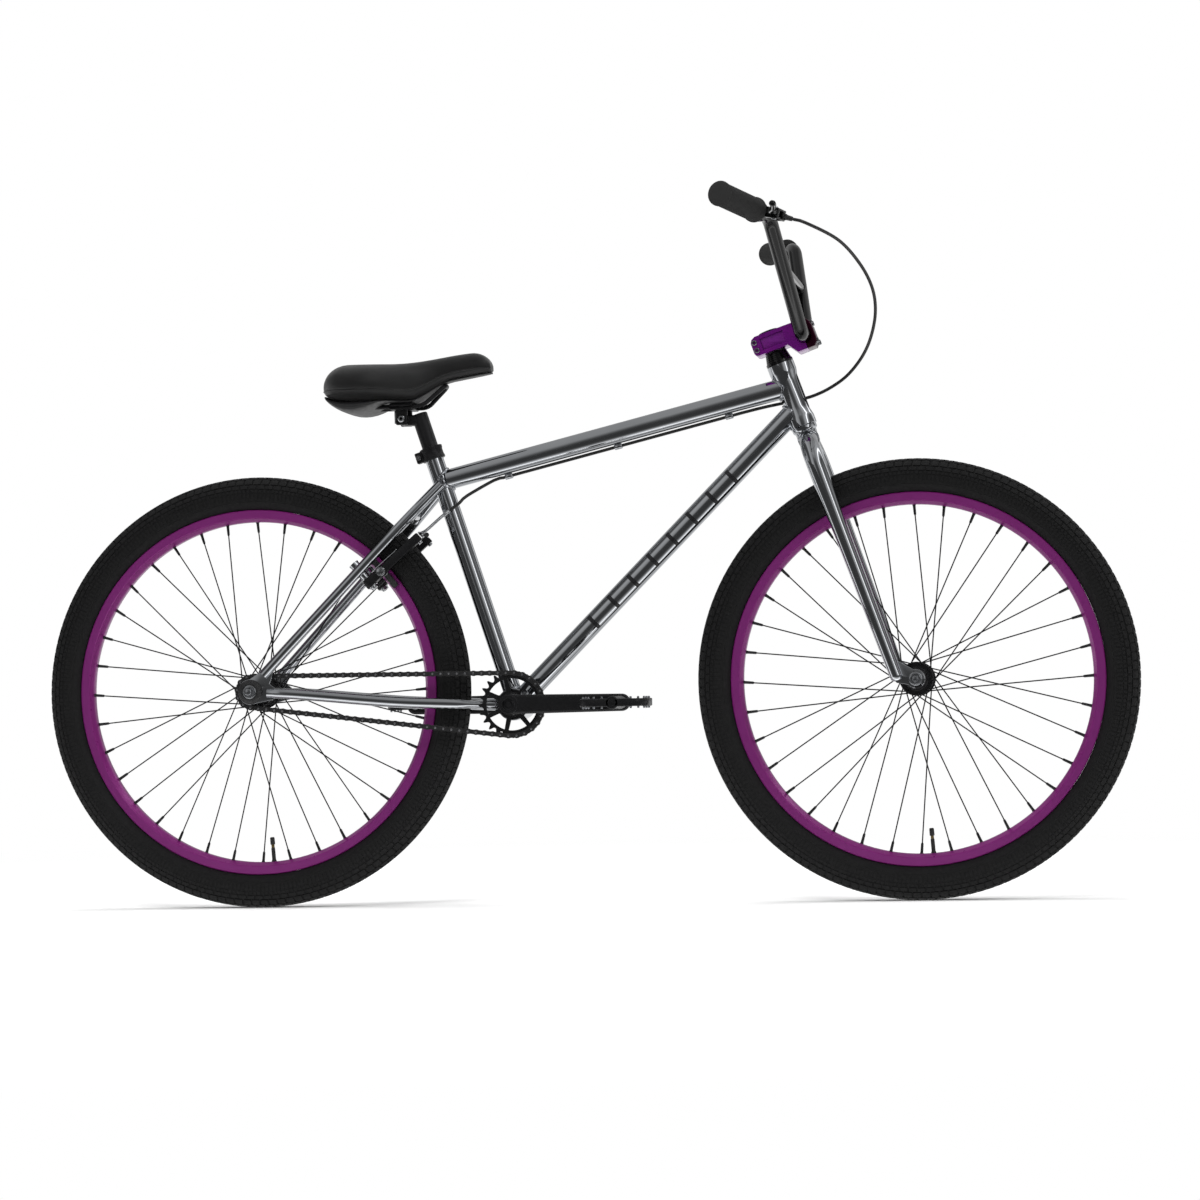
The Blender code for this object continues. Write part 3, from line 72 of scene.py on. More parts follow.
def middle_of(node):
    """The middle of a node's box, put on the bike's middle plane."""
    low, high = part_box(node)
    return Vector(((low.x + high.x) / 2, 0, (low.z + high.z) / 2))


# Where things are: the wheels' and the crank's places come from the frame.
REAR_AXLE = middle_of("tyre_rear")
FRONT_AXLE = middle_of("tyre_front")
BB = middle_of("bottom_bracket_shell")
SEAT_TUBE_ANGLE = radians(72.2)
HEAD_ANGLE = radians(70.5)
SEAT_UP = Vector((-cos(SEAT_TUBE_ANGLE), 0, sin(SEAT_TUBE_ANGLE)))
STEER_UP = Vector((-cos(HEAD_ANGLE), 0, sin(HEAD_ANGLE)))
STEER_FORWARD = Vector((sin(HEAD_ANGLE), 0, cos(HEAD_ANGLE)))
FORK_OFFSET = 0.026
STEER_FOOT = FRONT_AXLE - STEER_FORWARD * FORK_OFFSET
BRAKE_ANGLE = radians(41.5)
BRAKE_OUT = Vector((cos(BRAKE_ANGLE), 0, sin(BRAKE_ANGLE)))
BRAKE_AHEAD = Vector((sin(BRAKE_ANGLE), 0, -cos(BRAKE_ANGLE)))

# Sizes shared by several pieces, in metres. GAP keeps neighbours just apart.
GAP = 0.0003
TUBE_RADIUS = 0.0159
SEAT_TUBE_RADIUS = 0.0143
SEAT_TUBE_LENGTH = 0.424
TOP_TUBE_STATION = 0.368
HEAD_START = 0.425
HEAD_LENGTH = 0.103
HEAD_END_RADIUS = 0.02125
HEAD_RADIUS = 0.018
STEERER_RADIUS = 0.0143
BB_RADIUS = 0.025
BB_WIDTH = 0.073
BB_BORE = 0.0206
AXLE_RADIUS = 0.005
FRONT_SPACING = 0.100
REAR_SPACING = 0.110
PLATE = 0.005
CHAIN_LINE = 0.045
CHAIN_PITCH = 0.0127
SPROCKET_TEETH = 24
COG_TEETH = 12
SPROCKET_RADIUS = CHAIN_PITCH / (2 * sin(pi / SPROCKET_TEETH))
COG_RADIUS = CHAIN_PITCH / (2 * sin(pi / COG_TEETH))
CRANK_LENGTH = 0.175
CRANK_PLANE = 0.071
CRANK_THICKNESS = 0.015
PEDAL_GAP = 0.006
PEDAL_WIDTH = 0.094
PEDAL_LENGTH = 0.102
CAP_HEIGHT = 0.0207
STEM_START = HEAD_START + HEAD_LENGTH + CAP_HEIGHT + 2 * GAP
STEM_HEIGHT = 0.030
STEM_REACH = 0.050
STEM_WIDTH = 0.050
BAR_STATION = 0.554
BAR_RADIUS = 0.0111
GRIP_LENGTH = 0.120
GRIP_RADIUS = 0.0176
LEVER_LENGTH = 0.092
LEVER_AHEAD = 0.030
LEVER_DROP = radians(13)
CABLE_RADIUS = 0.0025
GUIDES = (0.105, 0.283, 0.462)
BRAKE_PIVOT = 0.252
BRAKE_SPREAD = 0.040
BRAKE_ARM = 0.106
PAD_TRACK = 0.2765
RIM_OUTER = 0.2855
TYRE_MIDDLE = 0.3095
RIM_INNER = 0.267
RIM_HALF = 0.016
PAD_CLEARANCE = 0.0017
FLANGES = {"front": (0.031, 0.031), "rear": (0.027, 0.033)}
BRIDGE_SHARE = 0.835
POST_RADIUS = 0.0127
RAIL_RADIUS = 0.0035
WELD_SIZE = 0.0024
FORK_CROWN = 0.398
LEG_SPREAD = 0.0525


def steer(station, forward=0.0, across=0.0):
    """A point by its height along the steering axis and its distance ahead of it."""
    return STEER_FOOT + STEER_UP * station + STEER_FORWARD * forward + Y * across


def seat(station, across=0.0):
    return BB + SEAT_UP * station + Y * across


def mirrored(point):
    return Vector((point.x, -point.y, point.z))


TOP_START = seat(TOP_TUBE_STATION)
TOP_END = steer(HEAD_START + 0.0655)
TOP_ALONG = (TOP_END - TOP_START).normalized()
TOP_UNDER = Y.cross(TOP_ALONG).normalized()
DOWN_END = steer(HEAD_START + 0.030)
DOWN_ALONG = (DOWN_END - BB).normalized()
CABLE_DROP = TUBE_RADIUS + CABLE_RADIUS + GAP + 0.00102
POST_TOP = 0.480
CLAMP_AXIS = seat(POST_TOP) + Vector((-0.0238, 0, -0.0083))
RAIL_HEIGHT = CLAMP_AXIS.z + 0.019


# ---------------------------------------------------------------- properties


class BikeWheelSettings(bpy.types.PropertyGroup):
    tyre_radius: FloatProperty(
        name="Tyre radius", description="Outer radius of the inflated tyre", unit="LENGTH",
        default=round((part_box("tyre_rear")[1].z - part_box("tyre_rear")[0].z) / 2, 4))
    tyre_width: FloatProperty(
        name="Tyre width", description="Widest part of the tyre's casing", unit="LENGTH",
        default=0.057)
    tread_columns: IntProperty(
        name="Tread columns", description="Blocks round the tread", default=150, min=48)
    spokes: IntProperty(
        name="Spokes", description="Spokes on each side of a wheel", default=18, min=9)
    spoke_gauge: FloatProperty(
        name="Spoke gauge", description="Diameter of a spoke's wire", unit="LENGTH",
        default=0.002)


class BikeFinishSettings(bpy.types.PropertyGroup):
    rim_colour: FloatVectorProperty(
        name="Rims", description="Anodised colour of the rims", subtype="COLOR", size=3,
        min=0, max=1, default=(0.196, 0.0105, 0.156))
    stem_colour: FloatVectorProperty(
        name="Stem", description="Anodised colour of the stem", subtype="COLOR", size=3,
        min=0, max=1, default=(0.216, 0.0086, 0.237))


class BikeSteeringSettings(bpy.types.PropertyGroup):
    bar_half_width: FloatProperty(
        name="Bar half width", description="From the middle plane to the bar's end",
        unit="LENGTH", default=0.362)
    grip_ribs: IntProperty(
        name="Grip ribs", description="Raised rings along a grip", default=24, min=4)


def wheels():
    return bpy.context.scene.bike_wheels


# ---------------------------------------------------------------- placing


def aim(axis, origin=(0, 0, 0), side=None):
    """A matrix that puts a shape's Z along axis at origin, with its X as near to side as it can."""
    up = Vector(axis).normalized()
    hint = Vector(side) if side is not None else (Z if abs(up.z) < 0.9 else X)
    across = (hint - up * hint.dot(up)).normalized()
    turn = Matrix((across, up.cross(across), up)).transposed()
    return Matrix.Translation(Vector(origin)) @ turn.to_4x4()


def rounded_path(corners, radii, steps=8):
    """The corner points with each inner corner replaced by an arc of its radius."""
    corners = [Vector(corner) for corner in corners]
    path = [corners[0]]
    for before, corner, after, radius in zip(corners, corners[1:], corners[2:], radii):
        back, ahead = (before - corner).normalized(), (after - corner).normalized()
        half = back.angle(ahead) / 2
        middle = corner + (back + ahead).normalized() * (radius / sin(half))
        first = corner + back * (radius / tan(half)) - middle
        last = corner + ahead * (radius / tan(half)) - middle
        sweep, normal = first.angle(last), first.cross(last).normalized()
        for step in range(steps + 1):
            path.append(middle + Matrix.Rotation(sweep * step / steps, 3, normal) @ first)
    path.append(corners[-1])
    return path


def smooth_path(points, spacing):
    """Points on a smooth curve through the given ones, about spacing apart."""
    points = [Vector(point) for point in points]
    ends = [2 * points[0] - points[1]] + points + [2 * points[-1] - points[-2]]
    path = []
    for a, b, c, d in zip(ends, ends[1:], ends[2:], ends[3:]):
        steps = max(1, round((c - b).length / spacing))
        for step in range(steps):
            t = step / steps
            path.append(0.5 * (2 * b + (c - a) * t + (2 * a - 5 * b + 4 * c - d) * t * t
                               + (3 * b - a - 3 * c + d) * t * t * t))
    path.append(points[-1])
    return path


def circle(centre, radius, steps, start=0.0, sweep=2 * pi):
    full = abs(sweep - 2 * pi) < 1e-6
    return [(centre[0] + radius * cos(start + sweep * i / steps),
             centre[1] + radius * sin(start + sweep * i / steps))
            for i in range(steps if full else steps + 1)]


def belt(first, first_radius, second, second_radius, steps=16):
    """The outline of a belt round two circles."""
    way = Vector(second) - Vector(first)
    heading = atan2(way.y, way.x)
    lean = (first_radius - second_radius) / way.length
    side = pi / 2 - atan2(lean, sqrt(1 - lean * lean))
    return (circle(second, second_radius, steps, heading - side, 2 * side)
            + circle(first, first_radius, steps, heading + side, 2 * (pi - side)))


# ---------------------------------------------------------------- shaping


def swept(bm, path, radius, sides=24, flat=None, closed=False):
    """Extrudes a circle along a path. radius is one number, or one for each point."""
    count = len(path)
    radii = radius if isinstance(radius, (list, tuple)) else [radius] * count
    flats = flat or [1.0] * count
    places, previous = [], None
    for index in range(count):
        before = path[index - 1] if index or closed else path[0]
        after = path[(index + 1) % count] if index < count - 1 or closed else path[-1]
        way = (after - before).normalized()
        if previous is None:
            place = aim(way).to_3x3()
        else:
            place = previous[1].rotation_difference(way).to_matrix() @ previous[0]
        previous = (place, way)
        size = Matrix.Diagonal((radii[index] * flats[index], radii[index], 1, 1))
        places.append(Matrix.Translation(path[index]) @ place.to_4x4() @ size)
    ring = bmesh.ops.create_circle(bm, segments=sides, radius=1, matrix=places[0])["verts"]
    first = edges = list({edge for vert in ring for edge in vert.link_edges})
    for before, place in zip(places, places[1:]):
        grown = bmesh.ops.extrude_edge_only(bm, edges=edges)["geom"]
        ring = [part for part in grown if isinstance(part, bmesh.types.BMVert)]
        inside = set(ring)
        edges = [part for part in grown if isinstance(part, bmesh.types.BMEdge)
                 and set(part.verts) <= inside]
        bmesh.ops.transform(bm, matrix=place @ before.inverted(), verts=ring)
    if closed:
        bmesh.ops.bridge_loops(bm, edges=first + edges)
    else:
        bmesh.ops.edgeloop_fill(bm, edges=first)
        bmesh.ops.edgeloop_fill(bm, edges=edges)


def turned(bm, profile, origin, axis, steps=96, closed=True):
    """Spins a profile of (radius, height) points round an axis."""
    place = aim(axis, origin)
    verts = [bm.verts.new(place @ Vector((radius, 0, height))) for radius, height in profile]
    edges = [bm.edges.new(pair) for pair in zip(verts, verts[1:])]
    if closed:
        edges.append(bm.edges.new((verts[-1], verts[0])))
    before = set(bm.verts)
    bmesh.ops.spin(bm, geom=verts + edges, cent=origin, axis=axis, angle=2 * pi,
                   steps=steps, use_merge=True)
    made = [vert for vert in bm.verts if vert not in before] + verts
    if not closed:
        bmesh.ops.remove_doubles(bm, verts=made, dist=1e-6)
    return made


def rod(bm, start, end, radius, sides=24, end_radius=None, bevel=0.0):
    way = Vector(end) - Vector(start)
    made = bmesh.ops.create_cone(
        bm, cap_ends=True, segments=sides, radius1=radius,
        radius2=radius if end_radius is None else end_radius, depth=way.length,
        matrix=aim(way, (Vector(start) + Vector(end)) / 2))["verts"]
    if bevel:
        faces = {face for vert in made for face in vert.link_faces if len(face.verts) > 4}
        rims = [edge for face in faces for edge in face.edges]
        soften(bm, rims, bevel)


def soften(bm, edges, width, segments=2):
    bmesh.ops.bevel(bm, geom=list(set(edges)), offset=width, offset_type="OFFSET",
                    affect="EDGES", segments=segments, profile=0.5, material=-1,
                    clamp_overlap=True)


def block(bm, centre, size, turn=None, bevel=0.0, segments=2):
    place = Matrix.Translation(Vector(centre)) @ (turn.to_4x4() if turn else Matrix.Identity(4))
    made = bmesh.ops.create_cube(bm, size=1, matrix=place @ Matrix.Diagonal((*size, 1)))["verts"]
    if bevel:
        soften(bm, {edge for vert in made for edge in vert.link_edges}, bevel, segments)


def prism(bm, loops, thickness, origin, u, v, bevel=0.0, segments=2):
    """A plate cut to outlines given as (u, v) points, centred on origin; later loops are holes."""
    u, v = Vector(u), Vector(v)
    normal = u.cross(v).normalized()
    low = Vector(origin) - normal * thickness / 2
    edges = []
    for loop in loops:
        verts = [bm.verts.new(low + u * a + v * b) for a, b in loop]
        edges += [bm.edges.new(pair) for pair in zip(verts, verts[1:] + verts[:1])]
    filled = bmesh.ops.triangle_fill(bm, edges=edges, use_beauty=True, use_dissolve=False,
                                     normal=normal)["geom"]
    faces = [part for part in filled if isinstance(part, bmesh.types.BMFace)]
    if len(loops) == 1:
        faces = bmesh.ops.dissolve_faces(bm, faces=faces)["region"]
    grown = bmesh.ops.extrude_face_region(bm, geom=faces, use_keep_orig=True)["geom"]
    top = [part for part in grown if isinstance(part, bmesh.types.BMVert)]
    bmesh.ops.translate(bm, verts=top, vec=normal * thickness)
    if bevel:
        ends = {edge for part in grown if isinstance(part, bmesh.types.BMFace)
                for edge in part.edges} | {edge for face in faces for edge in face.edges}
        rims = [edge for edge in ends if len(edge.link_faces) == 2
                and edge.calc_face_angle(0) > 1.0]
        soften(bm, rims, bevel, segments)


def ball(bm, centre, radius, rings=8):
    bmesh.ops.create_uvsphere(bm, u_segments=rings * 2, v_segments=rings, radius=radius,
                              matrix=Matrix.Translation(Vector(centre)))


def repeat(bm, unit, places):
    """Adds a copy of the unit mesh at each matrix, then frees the unit."""
    mesh = bpy.data.meshes.new("unit")
    unit.to_mesh(mesh)
    unit.free()
    for place in places:
        placed = mesh.copy()
        placed.transform(place)
        bm.from_mesh(placed)
        bpy.data.meshes.remove(placed)
    bpy.data.meshes.remove(mesh)


def weld(bm, point, way, radius, axis_point, axis, wall, size=WELD_SIZE, sides=8, steps=56):
    """A bead of weld where a tube that leaves point along way comes out of a round wall."""
    way, axis = Vector(way).normalized(), Vector(axis).normalized()
    u = way.orthogonal().normalized()
    v = way.cross(u)
    slope = way - axis * way.dot(axis)
    path, radii = [], []
    for step in range(steps):
        angle = 2 * pi * step / steps
        start = Vector(point) + (u * cos(angle) + v * sin(angle)) * (radius + size * 0.25)
        offset = start - Vector(axis_point)
        offset -= axis * offset.dot(axis)
        a, b = slope.dot(slope), 2 * offset.dot(slope)
        c = offset.dot(offset) - (wall + size * 0.25) ** 2
        reach = (-b + sqrt(max(0.0, b * b - 4 * a * c))) / (2 * a)
        path.append(start + way * reach)
        radii.append(size * (1 + 0.10 * cos(step * pi * 0.5 * 1.7)))
    swept(bm, path, radii, sides, closed=True)


def piece(name, bm, finish, body, replaces=(), smooth=38, flip=True):
    """Makes the object from a bmesh, gives it its material, and rides it on its body."""
    bmesh.ops.remove_doubles(bm, verts=bm.verts, dist=1e-7)
    if flip:
        bmesh.ops.recalc_face_normals(bm, faces=bm.faces)
    for face in bm.faces:
        face.smooth = True
    for edge in bm.edges:
        if len(edge.link_faces) == 2 and edge.calc_face_angle(0) > radians(smooth):
            edge.smooth = False
    mesh = bpy.data.meshes.new(name)
    bm.to_mesh(mesh)
    bm.free()
    obj = bpy.data.objects.new(name, mesh)
    bpy.context.scene.collection.objects.link(obj)
    mesh.materials.append(surface(finish))
    if body:
        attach(obj, body)
    if replaces:
        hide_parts(*replaces)
    return obj


def dress(node, finish, angle=35):
    """A CAD node that already has the right shape gets its finish and smooth shading."""
    obj = NODES[node]
    obj.data.materials.clear()
    obj.data.materials.append(surface(finish))
    obj.data.polygons.foreach_set("use_smooth", [True] * len(obj.data.polygons))
    merge = obj.modifiers.new("Merge", "WELD")
    merge.merge_threshold = 1e-5
    split = obj.modifiers.new("Edges", "EDGE_SPLIT")
    split.split_angle = radians(angle)


# ---------------------------------------------------------------- finishes


def linear(code):
    """An sRGB hex colour such as #7A1F6B as linear red, green, blue and alpha."""
    parts = [int(code[index:index + 2], 16) / 255 for index in (1, 3, 5)]
    return (*[c / 12.92 if c <= 0.04045 else ((c + 0.055) / 1.055) ** 2.4 for c in parts], 1)


def node(tree, kind, inputs=None, **settings):
    """Adds one node with its settings; an input is a value, or the socket that feeds it."""
    made = tree.nodes.new(kind)
    for name, value in settings.items():
        setattr(made, name, value)
    for name, value in (inputs or {}).items():
        if isinstance(value, bpy.types.NodeSocket):
            tree.links.new(value, made.inputs[name])
        else:
            made.inputs[name].default_value = value
    return made


def mixed(tree, factor, first, second):
    """A colour between two; each is a value or a socket. A Mix node's colours are its inputs
    6 and 7 and its output 2, after those of other data types."""
    return node(tree, "ShaderNodeMix", {"Factor": factor, 6: first, 7: second},
                data_type="RGBA").outputs[2]


# Each finish: its colour and a second one it drifts to over tint_mm; metallic; the roughness
# it ranges between over rough_mm; reliefs as (pattern, grain in mm, height in mm); and extra
# shader sockets. wear is the colour that shows along rubbed edges.
FINISHES = {
    # Show chrome plate on steel: near-mirror, with faint polishing haze and ripple in the tube.
    "chrome_plate": dict(base="#C2C4C7", tint="#AEB1B5", tint_mm=60, metallic=1.0,
                         rough=(0.035, 0.11), rough_mm=14,
                         relief=[("noise", 30, 0.020), ("noise", 1.2, 0.0012)]),
    # Chrome over a weld: same plate, with the ripple of the bead under it.
    "chrome_weld": dict(base="#B9BBBF", tint="#8E9196", tint_mm=5, metallic=1.0,
                        rough=(0.10, 0.28), rough_mm=3, relief=[("noise", 2.2, 0.12)]),
    # Bead-blasted, dyed anodised aluminium: soft highlight, fine grain.
    "anodised_rim": dict(base="rim", tint="#7C2270", tint_mm=90, metallic=0.45,
                         rough=(0.27, 0.38), rough_mm=6, relief=[("noise", 0.8, 0.004)],
                         sockets={"Coat Weight": 0.25, "Coat Roughness": 0.2}),
    # Brake track of the rim: the same dye over a coarser grain.
    "anodised_track": dict(base="#74206A", tint="#7C2672", tint_mm=50, metallic=0.45,
                           rough=(0.32, 0.45), rough_mm=5, relief=[("noise", 0.9, 0.02)]),
    # Bright-dipped, dyed anodised aluminium: clearer and more mirror-like than the rim.
    "anodised_stem": dict(base="stem", tint="#6C1188", tint_mm=40, metallic=0.65,
                          rough=(0.16, 0.27), rough_mm=7, relief=[("noise", 0.9, 0.004)],
                          sockets={"Coat Weight": 0.4, "Coat Roughness": 0.08}),
    "anodised_plate": dict(base="#3A0A22", tint="#2A0619", tint_mm=20, metallic=0.8,
                           rough=(0.2, 0.3), rough_mm=6, relief=[("noise", 0.9, 0.004)]),
    # Vulcanised tread rubber: matt, a little dusty in its texture, fine mould grain.
    "tread_rubber": dict(base="#0C0C0D", tint="#151515", tint_mm=7, metallic=0.0,
                         rough=(0.60, 0.78), rough_mm=5,
                         relief=[("noise", 0.9, 0.05), ("noise", 5, 0.05)],
                         sockets={"Specular IOR Level": 0.28}),
    # Moulded grip rubber: soft sheen where hands polish it.
    "grip_rubber": dict(base="#0B0B0C", tint="#131314", tint_mm=9, metallic=0.0,
                        rough=(0.50, 0.66), rough_mm=6, relief=[("noise", 0.7, 0.03)],
                        sockets={"Sheen Weight": 0.15}),
    # Brake shoe rubber: harder and greyer.
    "pad_rubber": dict(base="#1E1E1F", tint="#2A2A2A", tint_mm=6, metallic=0.0,
                       rough=(0.6, 0.75), rough_mm=4, relief=[("noise", 0.8, 0.04)]),
    # Gloss enamel over steel: deep black under a clear skin with slight orange peel.
    "gloss_enamel": dict(base="#040404", tint="#080809", tint_mm=40, metallic=0.0,
                         rough=(0.10, 0.17), rough_mm=20, relief=[("noise", 2.5, 0.006)],
                         sockets={"Coat Weight": 0.3, "Coat Roughness": 0.03,
                                  "Specular IOR Level": 0.25}),
    # Satin black anodised and forged aluminium: silver shows where edges rub.
    "satin_black": dict(base="#161617", tint="#1E1E20", tint_mm=18, metallic=0.55,
                        rough=(0.34, 0.46), rough_mm=7, relief=[("noise", 0.8, 0.01)],
                        wear="#5A5A5C"),
    # Black phosphate steel of spokes, teeth and pins.
    "black_steel": dict(base="#151516", tint="#222224", tint_mm=10, metallic=0.8,
                        rough=(0.30, 0.42), rough_mm=5, relief=[("noise", 0.9, 0.008)]),
    # Zinc plate on turned steel: pale, a little cloudy.
    "zinc_plate": dict(base="#A9ABAE", tint="#8B8E92", tint_mm=8, metallic=1.0,
                       rough=(0.20, 0.36), rough_mm=4, relief=[("noise", 0.7, 0.01)]),
    # Turned stainless for bolts and the cable pipe.
    "stainless": dict(base="#C4C6C8", tint="#A6A8AB", tint_mm=6, metallic=1.0,
                      rough=(0.14, 0.26), rough_mm=3, relief=[("noise", 0.6, 0.006)]),
    # Oiled roller chain: dark plates with a brown film of oil.
    "oiled_chain": dict(base="#2C2C2D", tint="#414142", tint_mm=6, metallic=0.7,
                        rough=(0.26, 0.46), rough_mm=3, relief=[("noise", 0.8, 0.01)],
                        wear="#77736C"),
    # Bare rollers and pin ends, polished where the teeth run on them.
    "roller_steel": dict(base="#7E7E80", tint="#5C5C5E", tint_mm=4, metallic=0.8,
                         rough=(0.26, 0.40), rough_mm=3, relief=[("noise", 0.7, 0.008)]),
    # Glass-filled nylon: dull, pebbled by its mould.
    "nylon": dict(base="#161617", tint="#1F1F20", tint_mm=12, metallic=0.0,
                  rough=(0.42, 0.56), rough_mm=5, relief=[("cells", 0.9, 0.02)]),
    # PVC cable jacket: smooth extruded skin.
    "cable_jacket": dict(base="#0D0D0E", tint="#151516", tint_mm=20, metallic=0.0,
                         rough=(0.30, 0.40), rough_mm=8, relief=[("noise", 1.5, 0.006)]),
    # Grained vinyl over foam: leather-like cells, soft broad highlight.
    "grained_vinyl": dict(base="#09090A", tint="#101010", tint_mm=30, metallic=0.0,
                          rough=(0.42, 0.56), rough_mm=20,
                          relief=[("cells", 1.5, 0.09), ("noise", 12, 0.10)],
                          sockets={"Sheen Weight": 0.12, "Specular IOR Level": 0.45}),
    # Valve brass under black rubber, and the bare thread.
    "valve_rubber": dict(base="#131313", tint="#1D1D1D", tint_mm=5, metallic=0.0,
                         rough=(0.5, 0.62), rough_mm=3, relief=[("noise", 0.7, 0.02)]),
    "thread_brass": dict(base="#8C7B4D", tint="#6D5F3B", tint_mm=3, metallic=1.0,
                         rough=(0.25, 0.4), rough_mm=2, relief=[("noise", 0.6, 0.01)]),
    # Matt vinyl foil of the plain bars and the plain head badge.
    "black_foil": dict(base="#101011", tint="#17171A", tint_mm=20, metallic=0.0,
                       rough=(0.34, 0.46), rough_mm=9, relief=[("noise", 1.0, 0.004)]),
}


def surface(finish):
    """The named finish as a material, made once. Patterns are sized in millimetres."""
    known = bpy.data.materials.get(finish)
    if known:
        return known
    recipe = FINISHES[finish]
    made = bpy.data.materials.new(finish)
    made.use_nodes = True
    tree = made.node_tree
    shader = tree.nodes["Principled BSDF"]
    place = node(tree, "ShaderNodeTexCoord").outputs["Object"]
    colours = bpy.context.scene.bike_finish
    own = {"rim": colours.rim_colour, "stem": colours.stem_colour}
    base = (*own[recipe["base"]], 1) if recipe["base"] in own else linear(recipe["base"])
    shader.inputs["Metallic"].default_value = recipe["metallic"]
    for socket, value in recipe.get("sockets", {}).items():
        shader.inputs[socket].default_value = value

    drift = node(tree, "ShaderNodeTexNoise",
                 {"Vector": place, "Scale": 1000 / recipe["tint_mm"], "Detail": 4.0})
    shown = mixed(tree, drift.outputs["Fac"], base, linear(recipe["tint"]))
    if "wear" in recipe:
        round_off = node(tree, "ShaderNodeBevel", {"Radius": 0.0007}, samples=4)
        flat = node(tree, "ShaderNodeNewGeometry").outputs["Normal"]
        facing = node(tree, "ShaderNodeVectorMath", {0: round_off.outputs["Normal"], 1: flat},
                      operation="DOT_PRODUCT")
        patchy = node(tree, "ShaderNodeTexNoise", {"Vector": place, "Scale": 180.0})
        rubbed = node(tree, "ShaderNodeMapRange",
                      {"Value": facing.outputs["Value"], "From Min": 0.99, "From Max": 0.90,
                       "To Min": 0.0, "To Max": 0.7})
        amount = node(tree, "ShaderNodeMath",
                      {0: rubbed.outputs["Result"], 1: patchy.outputs["Fac"]},
                      operation="MULTIPLY")
        shown = mixed(tree, amount.outputs["Value"], shown, linear(recipe["wear"]))
    tree.links.new(shown, shader.inputs["Base Color"])

    haze = node(tree, "ShaderNodeTexNoise",
                {"Vector": place, "Scale": 1000 / recipe["rough_mm"], "Detail": 3.0})
    low, high = recipe["rough"]
    gloss = node(tree, "ShaderNodeMapRange",
                 {"Value": haze.outputs["Fac"], "From Min": 0.3, "From Max": 0.7,
                  "To Min": low, "To Max": high})
    tree.links.new(gloss.outputs["Result"], shader.inputs["Roughness"])

    normal = None
    for pattern, grain, height in recipe["relief"]:
        if pattern == "cells":
            relief = node(tree, "ShaderNodeTexVoronoi",
                          {"Vector": place, "Scale": 1000 / grain}).outputs["Distance"]
        else:
            relief = node(tree, "ShaderNodeTexNoise",
                          {"Vector": place, "Scale": 1000 / grain, "Detail": 2.0}
                          ).outputs["Fac"]
        settings = {"Height": relief, "Distance": height / 1000, "Strength": 1.0}
        if normal:
            settings["Normal"] = normal
        normal = node(tree, "ShaderNodeBump", settings).outputs["Normal"]
    tree.links.new(normal, shader.inputs["Normal"])
    return made


# ---------------------------------------------------------------- stage


